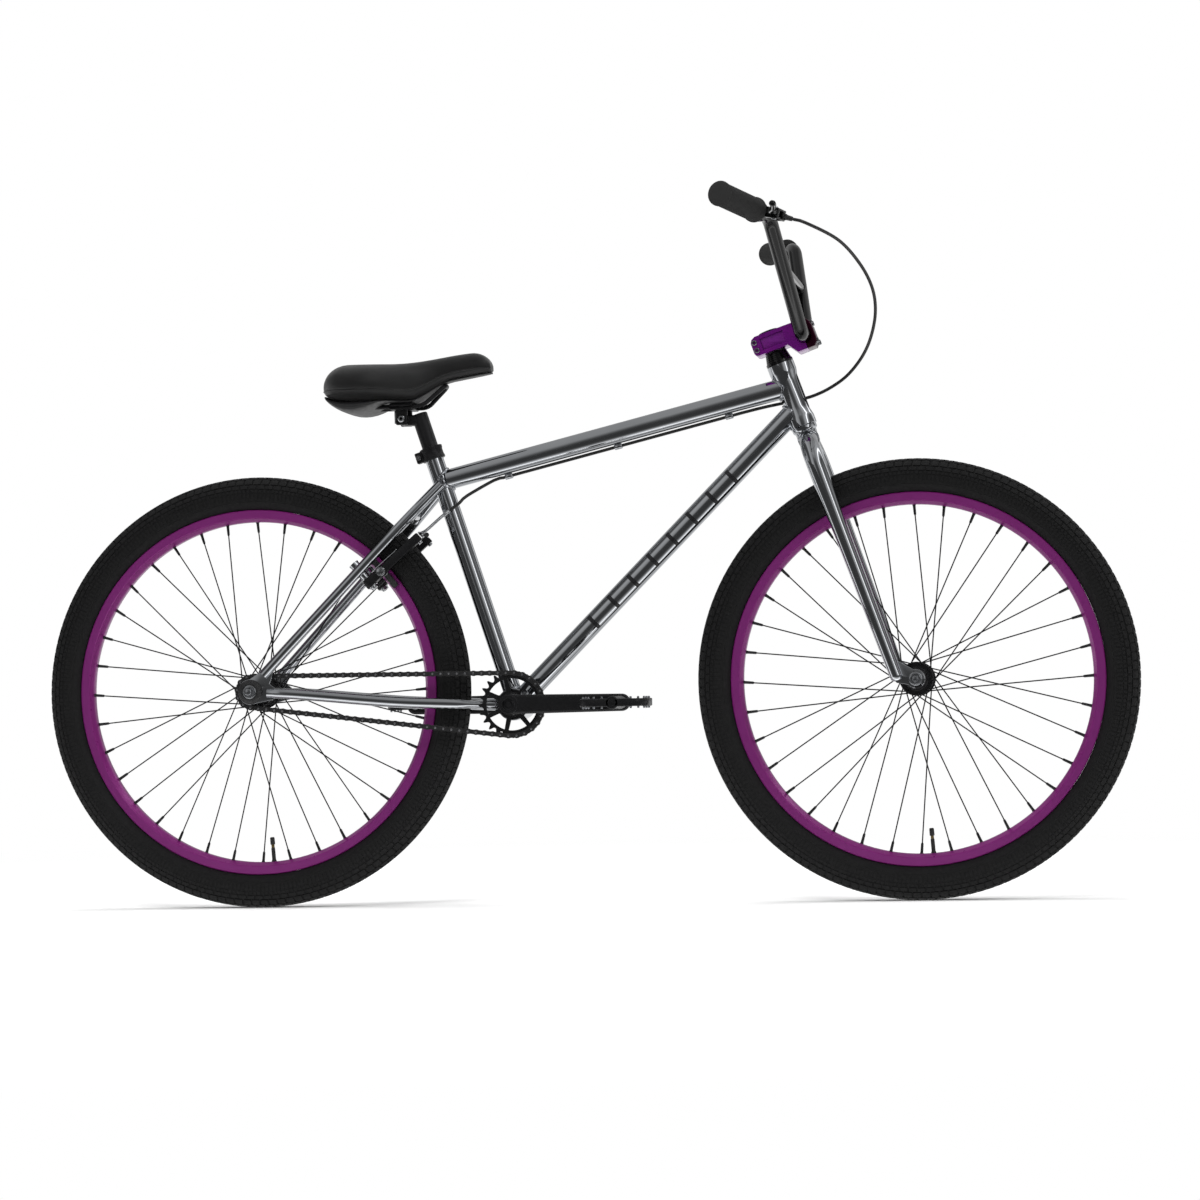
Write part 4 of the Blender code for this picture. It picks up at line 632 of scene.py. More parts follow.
class BIKE_OT_stage(bpy.types.Operator):
    """Adds the floor, the studio light and the camera"""

    bl_idname = "bike.stage"
    bl_label = "Studio"

    def execute(self, context):
        scene = context.scene
        scene.view_settings.view_transform = "Standard"
        self.floor()
        self.sky(scene)
        self.lamps(scene)
        self.camera(scene)
        return {"FINISHED"}

    def bands(self, tree, value, start, end, stops):
        """Grey levels along a value, easing from stop to stop; a level may be over 1."""
        share = node(tree, "ShaderNodeMapRange",
                     {"Value": value, "From Min": start, "From Max": end})
        made = node(tree, "ShaderNodeValToRGB", {"Fac": share.outputs["Result"]})
        ramp, most = made.color_ramp, 4.0
        ramp.interpolation = "EASE"
        while len(ramp.elements) < len(stops):
            ramp.elements.new(0.5)
        for element, (where, level) in zip(ramp.elements, stops):
            element.position = where
            element.color = (level / most, level / most, level / most, 1)
        return node(tree, "ShaderNodeVectorMath", {0: made.outputs["Color"], "Scale": most},
                    operation="SCALE").outputs["Vector"]

    def floor(self):
        bm = bmesh.new()
        bmesh.ops.create_circle(bm, cap_ends=True, segments=96, radius=60)
        mesh = bpy.data.meshes.new("studio_floor")
        bm.to_mesh(mesh)
        bm.free()
        obj = bpy.data.objects.new("studio_floor", mesh)
        bpy.context.scene.collection.objects.link(obj)
        made = bpy.data.materials.new("studio_paper")
        made.use_nodes = True
        tree = made.node_tree
        shader = tree.nodes["Principled BSDF"]
        shader.inputs["Roughness"].default_value = 0.9
        shader.inputs["Specular IOR Level"].default_value = 0.0
        shader.inputs["Base Color"].default_value = linear("#F4F4F4")
        # Far from the bike the paper fades into the white behind it.
        glow = node(tree, "ShaderNodeEmission", {"Color": (1, 1, 1, 1), "Strength": 1.0})
        place = node(tree, "ShaderNodeTexCoord").outputs["Object"]
        away = node(tree, "ShaderNodeVectorMath", {0: place}, operation="LENGTH")
        fade = node(tree, "ShaderNodeMapRange",
                    {"Value": away.outputs["Value"], "From Min": 1.3, "From Max": 2.6},
                    interpolation_type="SMOOTHSTEP")
        both = node(tree, "ShaderNodeMixShader",
                    {"Fac": fade.outputs["Result"], 1: shader.outputs["BSDF"],
                     2: glow.outputs["Emission"]})
        # Painted reflection: polished metal sees the floor as glowing grey bands, dark in front of
        # the bike with one bright strip, or all its undersides would be white.
        ray = node(tree, "ShaderNodeLightPath")
        across = node(tree, "ShaderNodeSeparateXYZ", {"Vector": place})
        level = self.bands(tree, across.outputs["Y"], -2.0, 1.0, (
            (0.0, 0.06), (0.35, 0.07), (0.47, 0.25), (0.53, 0.9), (0.565, 1.0), (0.58, 3.0),
            (0.60, 0.9), (0.66, 0.7), (0.70, 0.25), (0.73, 0.8), (0.80, 0.6), (1.0, 0.9)))
        # An emission that only reflections see: the painted reflection of a glowing floor.
        painted_floor_reflection = node(tree, "ShaderNodeEmission", {"Color": level})
        seen = node(tree, "ShaderNodeMixShader",
                    {"Fac": ray.outputs["Is Glossy Ray"], 1: both.outputs["Shader"],
                     2: painted_floor_reflection.outputs["Emission"]})
        tree.links.new(seen.outputs["Shader"], tree.nodes["Material Output"].inputs["Surface"])
        mesh.materials.append(made)

    def sky(self, scene):
        """White to the camera; for reflections, a room with dark walls and bright panels."""
        world = bpy.data.worlds.new("studio_room")
        world.use_nodes = True
        scene.world = world
        tree = world.node_tree
        ray = node(tree, "ShaderNodeLightPath")
        way = node(tree, "ShaderNodeSeparateXYZ",
                   {"Vector": node(tree, "ShaderNodeTexCoord").outputs["Generated"]})
        level = self.bands(tree, way.outputs["Z"], -1.0, 1.0, (
            (0.0, 0.9), (0.40, 0.5), (0.47, 0.10), (0.53, 0.07), (0.60, 0.09), (0.70, 0.16),
            (0.78, 0.30), (0.86, 0.42), (0.93, 0.36), (1.0, 0.42)))
        upright = self.bands(tree, way.outputs["X"], -1.0, 1.0, (
            (0.0, 0.5), (0.06, 0.08), (0.14, 0.10), (0.20, 0.55), (0.36, 0.42), (0.44, 0.08),
            (0.56, 0.08), (0.64, 0.30), (0.74, 0.55), (0.80, 0.60), (0.835, 3.2), (0.86, 0.5),
            (0.93, 0.10), (1.0, 0.6)))
        sideways = node(tree, "ShaderNodeMath", {0: way.outputs["X"]}, operation="ABSOLUTE")
        aside = node(tree, "ShaderNodeMapRange", {"Value": sideways.outputs["Value"],
                                                  "From Min": 0.12, "From Max": 0.35})
        walls = mixed(tree, aside.outputs["Result"], level, upright)
        behind = node(tree, "ShaderNodeMapRange",
                      {"Value": way.outputs["Y"], "From Min": 0.45, "From Max": 0.85})
        room = mixed(tree, behind.outputs["Result"], walls, (0.45, 0.45, 0.45, 1))
        seen = mixed(tree, ray.outputs["Is Glossy Ray"], (0.55, 0.55, 0.55, 1), room)
        last = mixed(tree, ray.outputs["Is Camera Ray"], seen, (1, 1, 1, 1))
        tree.links.new(last, tree.nodes["Background"].inputs["Color"])

    def lamps(self, scene):
        # Polished metal mirrors the room's own panels, so the lamps aren't seen in it.
        for name, place, size, power in (("key_light", (-1.2, -2.6, 3.2), 1.6, 70),
                                         ("fill_light", (2.4, -2.2, 2.0), 1.0, 22),
                                         ("top_light", (0.0, 0.3, 3.6), 2.4, 95)):
            lamp = bpy.data.lights.new(name, "AREA")
            lamp.shape = "DISK"
            lamp.size, lamp.energy = size, power
            obj = bpy.data.objects.new(name, lamp)
            scene.collection.objects.link(obj)
            obj.matrix_world = aim(Vector(place) - Vector((0, 0, 0.4)), place)
            obj.visible_glossy = False

    def camera(self, scene):
        azimuth, elevation, roll = 0.14790, -0.02752, -0.01966
        place, focal_length = (0.8347, -5.4188, 0.3193), 105.95
        back = Vector((sin(azimuth) * cos(elevation), -cos(azimuth) * cos(elevation),
                       sin(elevation)))
        across = (-back).cross(Z).normalized()
        up = across.cross(-back)
        right = across * cos(roll) + up * sin(roll)
        above = up * cos(roll) - across * sin(roll)
        lens = bpy.data.cameras.new("camera")
        lens.sensor_width = 36
        lens.lens = focal_length
        obj = bpy.data.objects.new("camera", lens)
        scene.collection.objects.link(obj)
        turn = Matrix((right, above, back)).transposed().to_4x4()
        obj.matrix_world = Matrix.Translation(place) @ turn
        scene.camera = obj


# ---------------------------------------------------------------- frame


class BIKE_OT_main_tubes(bpy.types.Operator):
    """Adds the head tube, top tube, down tube, seat tube and bottom bracket shell"""

    bl_idname = "bike.main_tubes"
    bl_label = "Main tubes"

    def execute(self, context):
        waist, flare, top = HEAD_LENGTH / 2, 0.013, HEAD_LENGTH
        bore = STEERER_RADIUS + 0.001
        outer = [(HEAD_END_RADIUS - 0.0006, top), (HEAD_END_RADIUS, top - 0.0006),
                 (HEAD_END_RADIUS, top - flare), (HEAD_END_RADIUS - 0.0008, top - flare - 0.004),
                 (HEAD_RADIUS + 0.0006, top - flare - 0.012), (HEAD_RADIUS, top - flare - 0.018)]
        below = [(r, top - h) for r, h in reversed(outer)]
        bm = bmesh.new()
        turned(bm, outer + [(HEAD_RADIUS, waist)] + below + [(bore, 0), (bore, top)],
               steer(HEAD_START), STEER_UP)
        piece("head_tube_shell", bm, "chrome_plate", "frame", ("head_tube",))

        bm = bmesh.new()
        wide = BB_WIDTH / 2
        turned(bm, [(BB_RADIUS - 0.0008, -wide), (BB_RADIUS, 0.0008 - wide),
                    (BB_RADIUS, wide - 0.0008), (BB_RADIUS - 0.0008, wide), (BB_BORE, wide),
                    (BB_BORE, -wide)], BB, Y)
        piece("bottom_bracket_barrel", bm, "chrome_plate", "frame", ("bottom_bracket_shell",))

        bm = bmesh.new()
        turned(bm, [(SEAT_TUBE_RADIUS, 0.020), (SEAT_TUBE_RADIUS, SEAT_TUBE_LENGTH),
                    (0.0130, SEAT_TUBE_LENGTH), (0.0130, 0.020)], BB, SEAT_UP, 48)
        piece("seat_tube_run", bm, "chrome_plate", "frame", ("seat_tube",))

        bm = bmesh.new()
        rod(bm, TOP_START + TOP_ALONG * 0.010, TOP_END - TOP_ALONG * 0.012, TUBE_RADIUS, 48)
        piece("top_tube_run", bm, "chrome_plate", "frame", ("top_tube",))

        bm = bmesh.new()
        rod(bm, BB + DOWN_ALONG * 0.012, DOWN_END - DOWN_ALONG * 0.010, TUBE_RADIUS, 48)
        piece("down_tube_run", bm, "chrome_plate", "frame", ("down_tube",))
        return {"FINISHED"}


def chainstay_route(side):
    spread = REAR_SPACING / 2 + PLATE / 2
    return [
        BB + Vector((-0.016, side * 0.029, 0.000)),
        BB + Vector((-0.060, side * 0.0355, 0.001)),
        BB + Vector((-0.100, side * 0.0420, 0.003)),
        BB + Vector((-0.190, side * 0.0485, 0.008)),
        REAR_AXLE + Vector((0.075, side * (spread - 0.001), -0.005)),
        REAR_AXLE + Vector((0.026, side * spread, -0.002)),
    ]


def seatstay_route(side):
    foot = REAR_AXLE + Vector((0.021, side * 0.0595, 0.026))
    cluster = seat(TOP_TUBE_STATION - 0.006, side * (SEAT_TUBE_RADIUS + 0.0035))
    slope = Vector((cluster.x - foot.x, 0, cluster.z - foot.z))
    return [foot] + [foot + slope * share + Y * side * shift for share, shift in (
        (0.10, -0.001), (0.40, -0.0085), (0.68, -0.0165), (0.86, -0.0280))] + [cluster]


class BIKE_OT_rear_triangle(bpy.types.Operator):
    """Adds the chainstays, seatstays, dropouts, brake bosses and the bridge"""

    bl_idname = "bike.rear_triangle"
    bl_label = "Rear triangle"

    def execute(self, context):
        for name, side in SIDES:
            self.chainstay(name, side)
            self.seatstay(name, side)
        bm = bmesh.new()
        high = seatstay_route(RIGHT)
        middle = high[0] + (high[-1] - high[0]) * BRIDGE_SHARE
        rod(bm, (middle.x, -0.034, middle.z), (middle.x, 0.034, middle.z), 0.006)
        piece("stay_bridge", bm, "chrome_plate", "frame", ("seatstay_bridge",))
        return {"FINISHED"}

    def chainstay(self, name, side):
        bm = bmesh.new()
        path = smooth_path(chainstay_route(side), 0.010)
        radii, flats = [], []
        for index, point in enumerate(path):
            share = index / (len(path) - 1)
            ahead = BB.x - point.x
            near = max(0.0, 1 - abs(ahead - 0.062) / 0.030) if side == RIGHT else 0.0
            radii.append(0.0095 * (1 - 0.14 * share) * (1 if share < 0.96 else 0.85))
            flats.append(1 - 0.38 * near * near * (3 - 2 * near))
        # The tube is dimpled across its width where the sprocket turns beside it.
        swept(bm, path, radii, 28, flats)
        slot, radius = AXLE_RADIUS + GAP, 0.020
        mouth = pi - atan2(slot, sqrt(radius * radius - slot * slot))
        loop = (circle((0, 0), radius, 12, -mouth, 1.25)
                + [(0.034, -0.013), (0.040, -0.008), (0.040, 0.004), (0.030, 0.012),
                   (0.033, 0.020), (0.036, 0.030), (0.028, 0.038)]
                + circle((0, 0), radius, 12, mouth - 1.25, 1.25)
                + circle((0, 0), slot, 12, -pi / 2, pi)[::-1])
        place = REAR_AXLE + Y * side * (REAR_SPACING / 2 + PLATE / 2)
        prism(bm, [loop], PLATE, place, X, Z, 0.0007)
        piece(f"chainstay_{name}_tube", bm, "chrome_plate", "frame", (f"chainstay_{name}",))

    def seatstay(self, name, side):
        bm = bmesh.new()
        swept(bm, smooth_path(seatstay_route(side), 0.012), 0.008, 28)
        boss = arm_place(side)
        back = boss - BRAKE_AHEAD * 0.039
        face, pin = boss - BRAKE_AHEAD * 0.0073, boss + BRAKE_AHEAD * 0.0073
        turned(bm, [(0, 0), (0.0085, 0), (0.0075, 0.008), (0.0075, 0.0307), (0.0068, 0.0317),
                    (0, 0.0317)], back, BRAKE_AHEAD, 32, closed=False)
        rod(bm, face - BRAKE_AHEAD * 0.002, pin + BRAKE_AHEAD * 0.002, 0.004)
        piece(f"seatstay_{name}_tube", bm, "chrome_plate", "frame", (f"seatstay_{name}",))
        bm = bmesh.new()
        turned(bm, [(0.0022, 0.0042), (0.0022, 0.0055), (0.0050, 0.0055), (0.0056, 0.0046),
                    (0.0062, 0.0016), (0.0078, 0.0012), (0.0078, 0), (0, 0), (0, 0.0030),
                    (0.0020, 0.0030)], pin, BRAKE_AHEAD, 24)
        piece(f"brake_boss_bolt_{name}", bm, "stainless", "frame")


class BIKE_OT_welds(bpy.types.Operator):
    """Adds the weld beads where the tubes meet"""

    bl_idname = "bike.welds"
    bl_label = "Welds"

    def execute(self, context):
        bm = bmesh.new()
        foot, head = seat(0), steer(HEAD_START)
        weld(bm, TOP_START, TOP_ALONG, TUBE_RADIUS, foot, SEAT_UP, SEAT_TUBE_RADIUS)
        weld(bm, TOP_END, -TOP_ALONG, TUBE_RADIUS, head, STEER_UP, HEAD_RADIUS)
        weld(bm, DOWN_END, -DOWN_ALONG, TUBE_RADIUS, head, STEER_UP, HEAD_RADIUS)
        weld(bm, BB, DOWN_ALONG, TUBE_RADIUS, BB, Y, BB_RADIUS)
        weld(bm, BB, SEAT_UP, SEAT_TUBE_RADIUS, BB, Y, BB_RADIUS)
        for _, side in SIDES:
            route = chainstay_route(side)
            weld(bm, route[0], route[1] - route[0], 0.0095, BB, Y, BB_RADIUS, 0.0020)
            stay = seatstay_route(side)
            ends = smooth_path(stay, 0.012)
            weld(bm, ends[-1] + (ends[-1] - ends[-2]) * 0.2, ends[-2] - ends[-1], 0.008, foot,
                 SEAT_UP, SEAT_TUBE_RADIUS, 0.0018, steps=40)
            bridge_at = stay[0] + (stay[-1] - stay[0]) * BRIDGE_SHARE
            inner = Vector((bridge_at.x, side * 0.028, bridge_at.z))
            weld(bm, inner, -Y * side, 0.006, stay[0] + (stay[-1] - stay[0]) * 0.80
                 + Y * side * 0.004, stay[-1] - stay[0], 0.008, 0.0014, steps=32)
        piece("frame_welds", bm, "chrome_weld", "frame")
        return {"FINISHED"}


class BIKE_OT_frame_fittings(bpy.types.Operator):
    """Adds the cable guides, the plain head badge and the plain bars on the down tube"""

    bl_idname = "bike.frame_fittings"
    bl_label = "Frame fittings"

    def execute(self, context):
        bm = bmesh.new()
        for station in GUIDES:
            centre = TOP_START + TOP_ALONG * station + TOP_UNDER * CABLE_DROP
            bore, wall = CABLE_RADIUS + 0.0002, 0.0046
            turned(bm, [(bore, -0.006), (wall - 0.0006, -0.006), (wall, -0.0052),
                        (wall, 0.0052), (wall - 0.0006, 0.006), (bore, 0.006)], centre,
                   TOP_ALONG, 32)
        piece("cable_guides", bm, "chrome_plate", "frame")

        bm = bmesh.new()
        for index in range(8):
            middle = BB.lerp(DOWN_END, 0.28 + 0.07 * index)
            for _, side in SIDES:
                self.foil(bm, middle, DOWN_ALONG, Y * side, radians(48), 0.0065)
        turn = Matrix((Y, STEER_FORWARD, STEER_UP)).transposed()
        block(bm, steer(HEAD_START + 0.053, HEAD_RADIUS - 0.0006), (0.0120, 0.0024, 0.056), turn,
              0.0008)
        piece("plain_graphics", bm, "black_foil", "frame")
        return {"FINISHED"}

    def foil(self, bm, middle, along, face, half_angle, length):
        """A thin sheet wrapped round the tube, on the side that faces a way."""
        aside = along.cross(face)
        made = bmesh.ops.create_grid(bm, x_segments=12, y_segments=1, size=1)
        for vert in made["verts"]:
            angle, step = vert.co.x * half_angle, vert.co.y * length / 2
            out = face * cos(angle) + aside * sin(angle)
            vert.co = middle + along * step + out * (TUBE_RADIUS + 0.0002)


# ---------------------------------------------------------------- wheels

WHEELS = (("front", FRONT_AXLE, "front_wheel"), ("rear", REAR_AXLE, "rear_wheel"))


class BIKE_OT_tyres(bpy.types.Operator):
    """Adds the tyres, with a block tread and moulded side ribs"""

    bl_idname = "bike.tyres"
    bl_label = "Tyres"

    # Rows of blocks: from and to in degrees round the section from the crown, blocks round
    # the wheel as a share of tread_columns, shift in blocks, gap and height in metres.
    ROWS = ((-8.5, 8.5, 1, 0.0, 0.0018, 0.0016), (11, 30, 1, 0.5, 0.0018, 0.0016),
            (32.5, 55, 1, 0.0, 0.0018, 0.0015), (58.5, 71.5, 1, 0.5, 0.0018, 0.0013),
            (74, 84, 2, 0.0, 0.0021, 0.0009), (86, 107, 2, 0.0, 0.0024, 0.0007))

    def execute(self, context):
        for end, axle, body in WHEELS:
            bm = bmesh.new()
            turned(bm, self.carcass(), axle, Y, 224)
            for index, row in enumerate(self.ROWS):
                for side in (1, -1) if index else (1,):
                    self.blocks(bm, axle, side, *row)
            piece(f"tyre_{end}_tread", bm, "tread_rubber", body, (f"tyre_{end}",),
                  smooth=28)
        return {"FINISHED"}

    def section(self, angle, lift):
        """Radius and width of the tyre's skin at an angle round its section from the crown."""
        rise = wheels().tyre_radius - TYRE_MIDDLE - 0.0016 + lift
        half = wheels().tyre_width / 2 - 0.0007 + lift
        return TYRE_MIDDLE + rise * cos(angle), half * sin(angle)

    def carcass(self):
        """The skin under the blocks, from rim to rim, with a raised line low on each wall."""
        line = [(0.0, angle) for angle in range(0, 112, 7)]
        line += [(0.0, 114), (0.0006, 114.8), (0.0006, 117), (0.0, 117.8), (0.0, 125),
                 (0.0, 134), (0.0, 143), (-0.0004, 151.5)]
        half = [self.section(radians(angle), lift) for lift, angle in line]
        return [(r, -h) for r, h in reversed(half[1:])] + half

    def blocks(self, bm, axle, side, first, last, share, shift, gap, height):
        count = wheels().tread_columns * share
        pitch = 2 * pi / count
        cover = 1 - gap / (pitch * wheels().tyre_radius)
        across = 2 + round((last - first) / 10)
        unit = bmesh.new()
        bmesh.ops.create_grid(unit, x_segments=across, y_segments=3 - share, size=1)
        grown = bmesh.ops.extrude_face_region(unit, geom=unit.faces[:], use_keep_orig=True)
        tops = {part for part in grown["geom"] if isinstance(part, bmesh.types.BMVert)}
        for vert in unit.verts:
            top = vert in tops
            lift = height if top else -0.0004
            narrow = 0.92 if top else 1.0
            angle = radians((first + last + vert.co.x * (last - first) * (narrow + 0.03)) / 2)
            radius, out = self.section(angle, lift)
            turn = vert.co.y * pitch / 2 * cover * narrow
            vert.co = Vector((radius * cos(turn), side * out, radius * sin(turn)))
        bmesh.ops.recalc_face_normals(unit, faces=unit.faces)
        repeat(bm, unit, [Matrix.Translation(axle) @ Matrix.Rotation(pitch * (index + shift),
                                                                     4, "Y")
                          for index in range(count)])


class BIKE_OT_rims(bpy.types.Operator):
    """Adds the rims with their brake tracks, and the valves"""

    bl_idname = "bike.rims"
    bl_label = "Rims"

    def execute(self, context):
        half, edge = RIM_HALF, 0.0008
        track = RIM_OUTER - 0.0125
        for end, axle, body in WHEELS:
            bm = bmesh.new()
            turned(bm, [
                (RIM_OUTER, half - 0.0005), (RIM_OUTER + 0.0006, half - 0.0012),
                (RIM_OUTER, half * 0.84), (RIM_OUTER - 0.006, half * 0.5),
                (RIM_OUTER - 0.006, -half * 0.5), (RIM_OUTER, -half * 0.84),
                (RIM_OUTER + 0.0006, 0.0012 - half), (RIM_OUTER, 0.0005 - half),
                (RIM_OUTER - edge, -half), (track + edge, -half), (track, edge - half),
                (track - 0.0006, 0.0010 - half), (RIM_INNER + 0.0016, -half * 0.56),
                (RIM_INNER + 0.0004, -half * 0.42), (RIM_INNER, -half * 0.2),
                (RIM_INNER, half * 0.2), (RIM_INNER + 0.0004, half * 0.42),
                (RIM_INNER + 0.0016, half * 0.56), (track - 0.0006, half - 0.0010),
                (track, half - edge), (track + edge, half), (RIM_OUTER - edge, half)],
                axle, Y, 160)
            obj = piece(f"rim_{end}_hoop", bm, "anodised_rim", body, (f"rim_{end}",),
                        smooth=24)
            obj.data.materials.append(surface("anodised_track"))
            for face in obj.data.polygons:
                if abs(face.normal.y) > 0.9 and abs(face.center.y) > half - 0.0006:
                    face.material_index = 1
            self.valve(end, axle, body)
        return {"FINISHED"}

    def valve(self, end, axle, body):
        angle = radians(-86)
        out = Vector((cos(angle), 0, sin(angle)))
        foot = axle + out * (RIM_INNER + 0.002)
        bm = bmesh.new()
        turned(bm, [(0, 0), (0.0042, 0), (0.0040, 0.003), (0.0031, 0.005), (0.0030, 0.022),
                    (0.0026, 0.024), (0, 0.024)], foot, -out, 20, closed=False)
        turned(bm, [(0, 0.0285), (0.0036, 0.0285), (0.0038, 0.030), (0.0036, 0.039),
                    (0.0026, 0.0402), (0, 0.0402)], foot, -out, 12, closed=False)
        piece(f"valve_{end}", bm, "valve_rubber", body)
        bm = bmesh.new()
        turned(bm, [(0, 0.023), (0.0024, 0.023), (0.0026, 0.0235), (0.0024, 0.0243),
                    (0.0026, 0.0251), (0.0024, 0.0259), (0.0026, 0.0267), (0.0024, 0.0275),
                    (0.0024, 0.0290), (0, 0.0290)], foot, -out, 16, closed=False)
        piece(f"valve_thread_{end}", bm, "thread_brass", body)


class BIKE_OT_spokes(bpy.types.Operator):
    """Adds the crossed spokes with their bent heads and nipples"""

    bl_idname = "bike.spokes"
    bl_label = "Spokes"

    def execute(self, context):
        for end, axle, body in WHEELS:
            for (name, side), offset in zip(SIDES, FLANGES[end]):
                wires, nipples = bmesh.new(), bmesh.new()
                for sign in (1, -1):
                    self.half_set(wires, nipples, axle, side, offset, sign)
                piece(f"spoke_wires_{end}_{name}", wires, "black_steel", body,
                      (f"spokes_{end}_{name}",))
                piece(f"nipples_{end}_{name}", nipples, "satin_black", body)
        return {"FINISHED"}

    def half_set(self, wires, nipples, axle, side, offset, sign):
        count = wheels().spokes
        gauge = wheels().spoke_gauge / 2
        for index in range(count // 2):
            step = 4 * pi / count
            angle = (index + (0 if sign > 0 else 0.5)) * step + (pi / count if side > 0 else 0)
            root = angle - sign * radians(56)
            far = axle + Vector((0.2672 * cos(angle), side * 0.004, 0.2672 * sin(angle)))
            near = axle + Vector((0.0232 * cos(root), side * (offset + sign * 0.0022),
                                  0.0232 * sin(root)))
            way = (far - near).normalized()
            rod(wires, near, far - way * 0.009, gauge, 8)
            rod(wires, near + Y * side * 0.0004, near - Y * side * sign * 0.0042, gauge, 8)
            ball(wires, near - Y * side * sign * 0.0045, gauge * 1.9, 4)
            turned(nipples, [(0, 0), (0.0028, 0), (0.0027, 0.0018), (0.0023, 0.0026),
                             (0.0020, 0.0155), (0.0013, 0.0172), (0, 0.0172)],
                   far + way * 0.0008, -way, 8, closed=False)


class BIKE_OT_hubs(bpy.types.Operator):
    """Adds the hub shells, axle threads, nuts, washers and hub guards"""

    bl_idname = "bike.hubs"
    bl_label = "Hubs"

    def execute(self, context):
        sizes = {"front": (-0.044, 0.044, FRONT_SPACING, 0.0),
                 "rear": (-0.0379, 0.049, REAR_SPACING, 0.006)}
        for end, axle, body in WHEELS:
            low, high = -FLANGES[end][0], FLANGES[end][1]
            start, stop, spacing, guard = sizes[end]
            self.shell(end, axle, body, low, high, start, stop)
            holder = "steering" if end == "front" else "frame"
            dress(f"axle_{end}", "zinc_plate")
            for name, side in SIDES:
                self.nut(end, name, side, axle, spacing, guard if side == RIGHT else 0.0,
                         holder)
        return {"FINISHED"}

    def shell(self, end, axle, body, low, high, start, stop):
        thick, flange, core, bore = 0.0016, 0.026, 0.0165, 0.0053

        def flange_side(at, way):
            return [(core * 0.96, at - way * 0.0060), (core * 1.03, at - way * 0.0030),
                    (core * 1.14, at - way * thick), (flange - 0.0008, at - way * thick),
                    (flange, at - way * 0.0008), (flange, at + way * 0.0008),
                    (flange - 0.0008, at + way * thick), (core * 1.1, at + way * thick),
                    (core * 1.02, at + way * 0.0028)]

        bm = bmesh.new()
        upper = flange_side(high, 1) + [(core * 0.98, stop - 0.003), (core * 0.92, stop - 0.001),
                                        (core * 0.80, stop), (bore, stop)]
        lower = flange_side(low, -1) + [(core * 0.98, start + 0.003),
                                        (core * 0.92, start + 0.001), (core * 0.80, start),
                                        (bore, start)]
        turned(bm, lower[::-1] + [(core * 0.84, low + 0.012), (core * 0.80, (low + high) / 2),
                                  (core * 0.84, high - 0.012)] + upper, axle, Y, 72)
        piece(f"hub_{end}_shell", bm, "satin_black", body, (f"hub_{end}",))

    def nut(self, end, name, side, axle, spacing, guard, holder):
        out = Y * side
        face = spacing / 2 + PLATE + GAP + (guard + GAP if guard else 0)
        base = axle + out * face
        bm = bmesh.new()
        turned(bm, [(0.0052, 0), (0.0104, 0), (0.0104, 0.0012), (0.0094, 0.0018),
                    (0.0052, 0.0018)], base, out, 40)
        hexagon = [(0.0094 * x, 0.0094 * y) for x, y in circle((0, 0), 1, 6)]
        prism(bm, [hexagon, circle((0, 0), 0.0052, 20)], 0.0062, base + out * 0.0049, X, Z,
              0.0006)
        piece(f"axle_nut_{end}_{name}_flanged", bm, "zinc_plate", holder,
              (f"axle_nut_{end}_{name}",))
        bm = bmesh.new()
        reach, count, thread = 0.0118, 12, []
        for index in range(count):
            thread += [(0.0047, reach * index / count), (0.0051, reach * (index + 0.5) / count)]
        turned(bm, [(0, 0)] + thread + [(0.0043, reach), (0, reach)], base, out, 20,
               closed=False)
        piece(f"axle_thread_{end}_{name}", bm, "zinc_plate", holder)
        if guard:
            bm = bmesh.new()
            plate_face = axle + out * (spacing / 2 + PLATE + GAP)
            turned(bm, [(0.0053, 0), (0.0190, 0), (0.0193, 0.0012), (0.0186, 0.0026),
                        (0.0160, 0.0048), (0.0125, 0.0058), (0.0118, 0.0060),
                        (0.0112, 0.0056), (0.0106, 0.0060), (0.0053, 0.0060)], plate_face,
                   out, 64)
            piece("hub_guard_dome", bm, "nylon", holder, ("hub_guard",))


# ---------------------------------------------------------------- drive


def toothed(teeth, pitch_radius, phase=0.0):
    """A sprocket outline: a round seat for each roller between blunt teeth."""
    loop, step = [], 2 * pi / teeth
    root, tip = pitch_radius - 0.0038, pitch_radius + 0.0036
    for tooth in range(teeth):
        for offset, radius in ((-0.38, root + 0.0004), (-0.26, root + 0.0018),
                               (-0.14, pitch_radius + 0.0016), (-0.06, tip), (0.06, tip),
                               (0.14, pitch_radius + 0.0016), (0.26, root + 0.0018),
                               (0.38, root + 0.0004), (0.50, root)):
            angle = phase + (tooth + offset) * step
            loop.append((radius * cos(angle), radius * sin(angle)))
    return loop


def chain_pins():
    """The middle of each chain pin, as (x, z) from the rear axle, one pitch apart."""
    ahead = (BB.x - REAR_AXLE.x, BB.z - REAR_AXLE.z)
    line = [Vector(point) for point in belt((0, 0), COG_RADIUS, ahead, SPROCKET_RADIUS, 120)]
    lengths = [0.0]
    for before, after in zip(line, line[1:] + line[:1]):
        lengths.append(lengths[-1] + (after - before).length)
    links = 2 * round(lengths[-1] / CHAIN_PITCH / 2)
    pins, at = [], 0
    for index in range(links):
        want = lengths[-1] * index / links
        while lengths[at + 1] < want:
            at += 1
        share = (want - lengths[at]) / (lengths[at + 1] - lengths[at])
        pins.append(line[at].lerp(line[(at + 1) % len(line)], share))
    return pins


def seat_phase(pins, centre, teeth):
    """Turns a toothed wheel so that a pin on it sits between two teeth."""
    offsets = [pin - Vector(centre) for pin in pins]
    on = min(offsets, key=lambda offset: offset.length - 1e-3 * offset.x * (1 if centre[0] else -1))
    return atan2(on.y, on.x) + pi / teeth


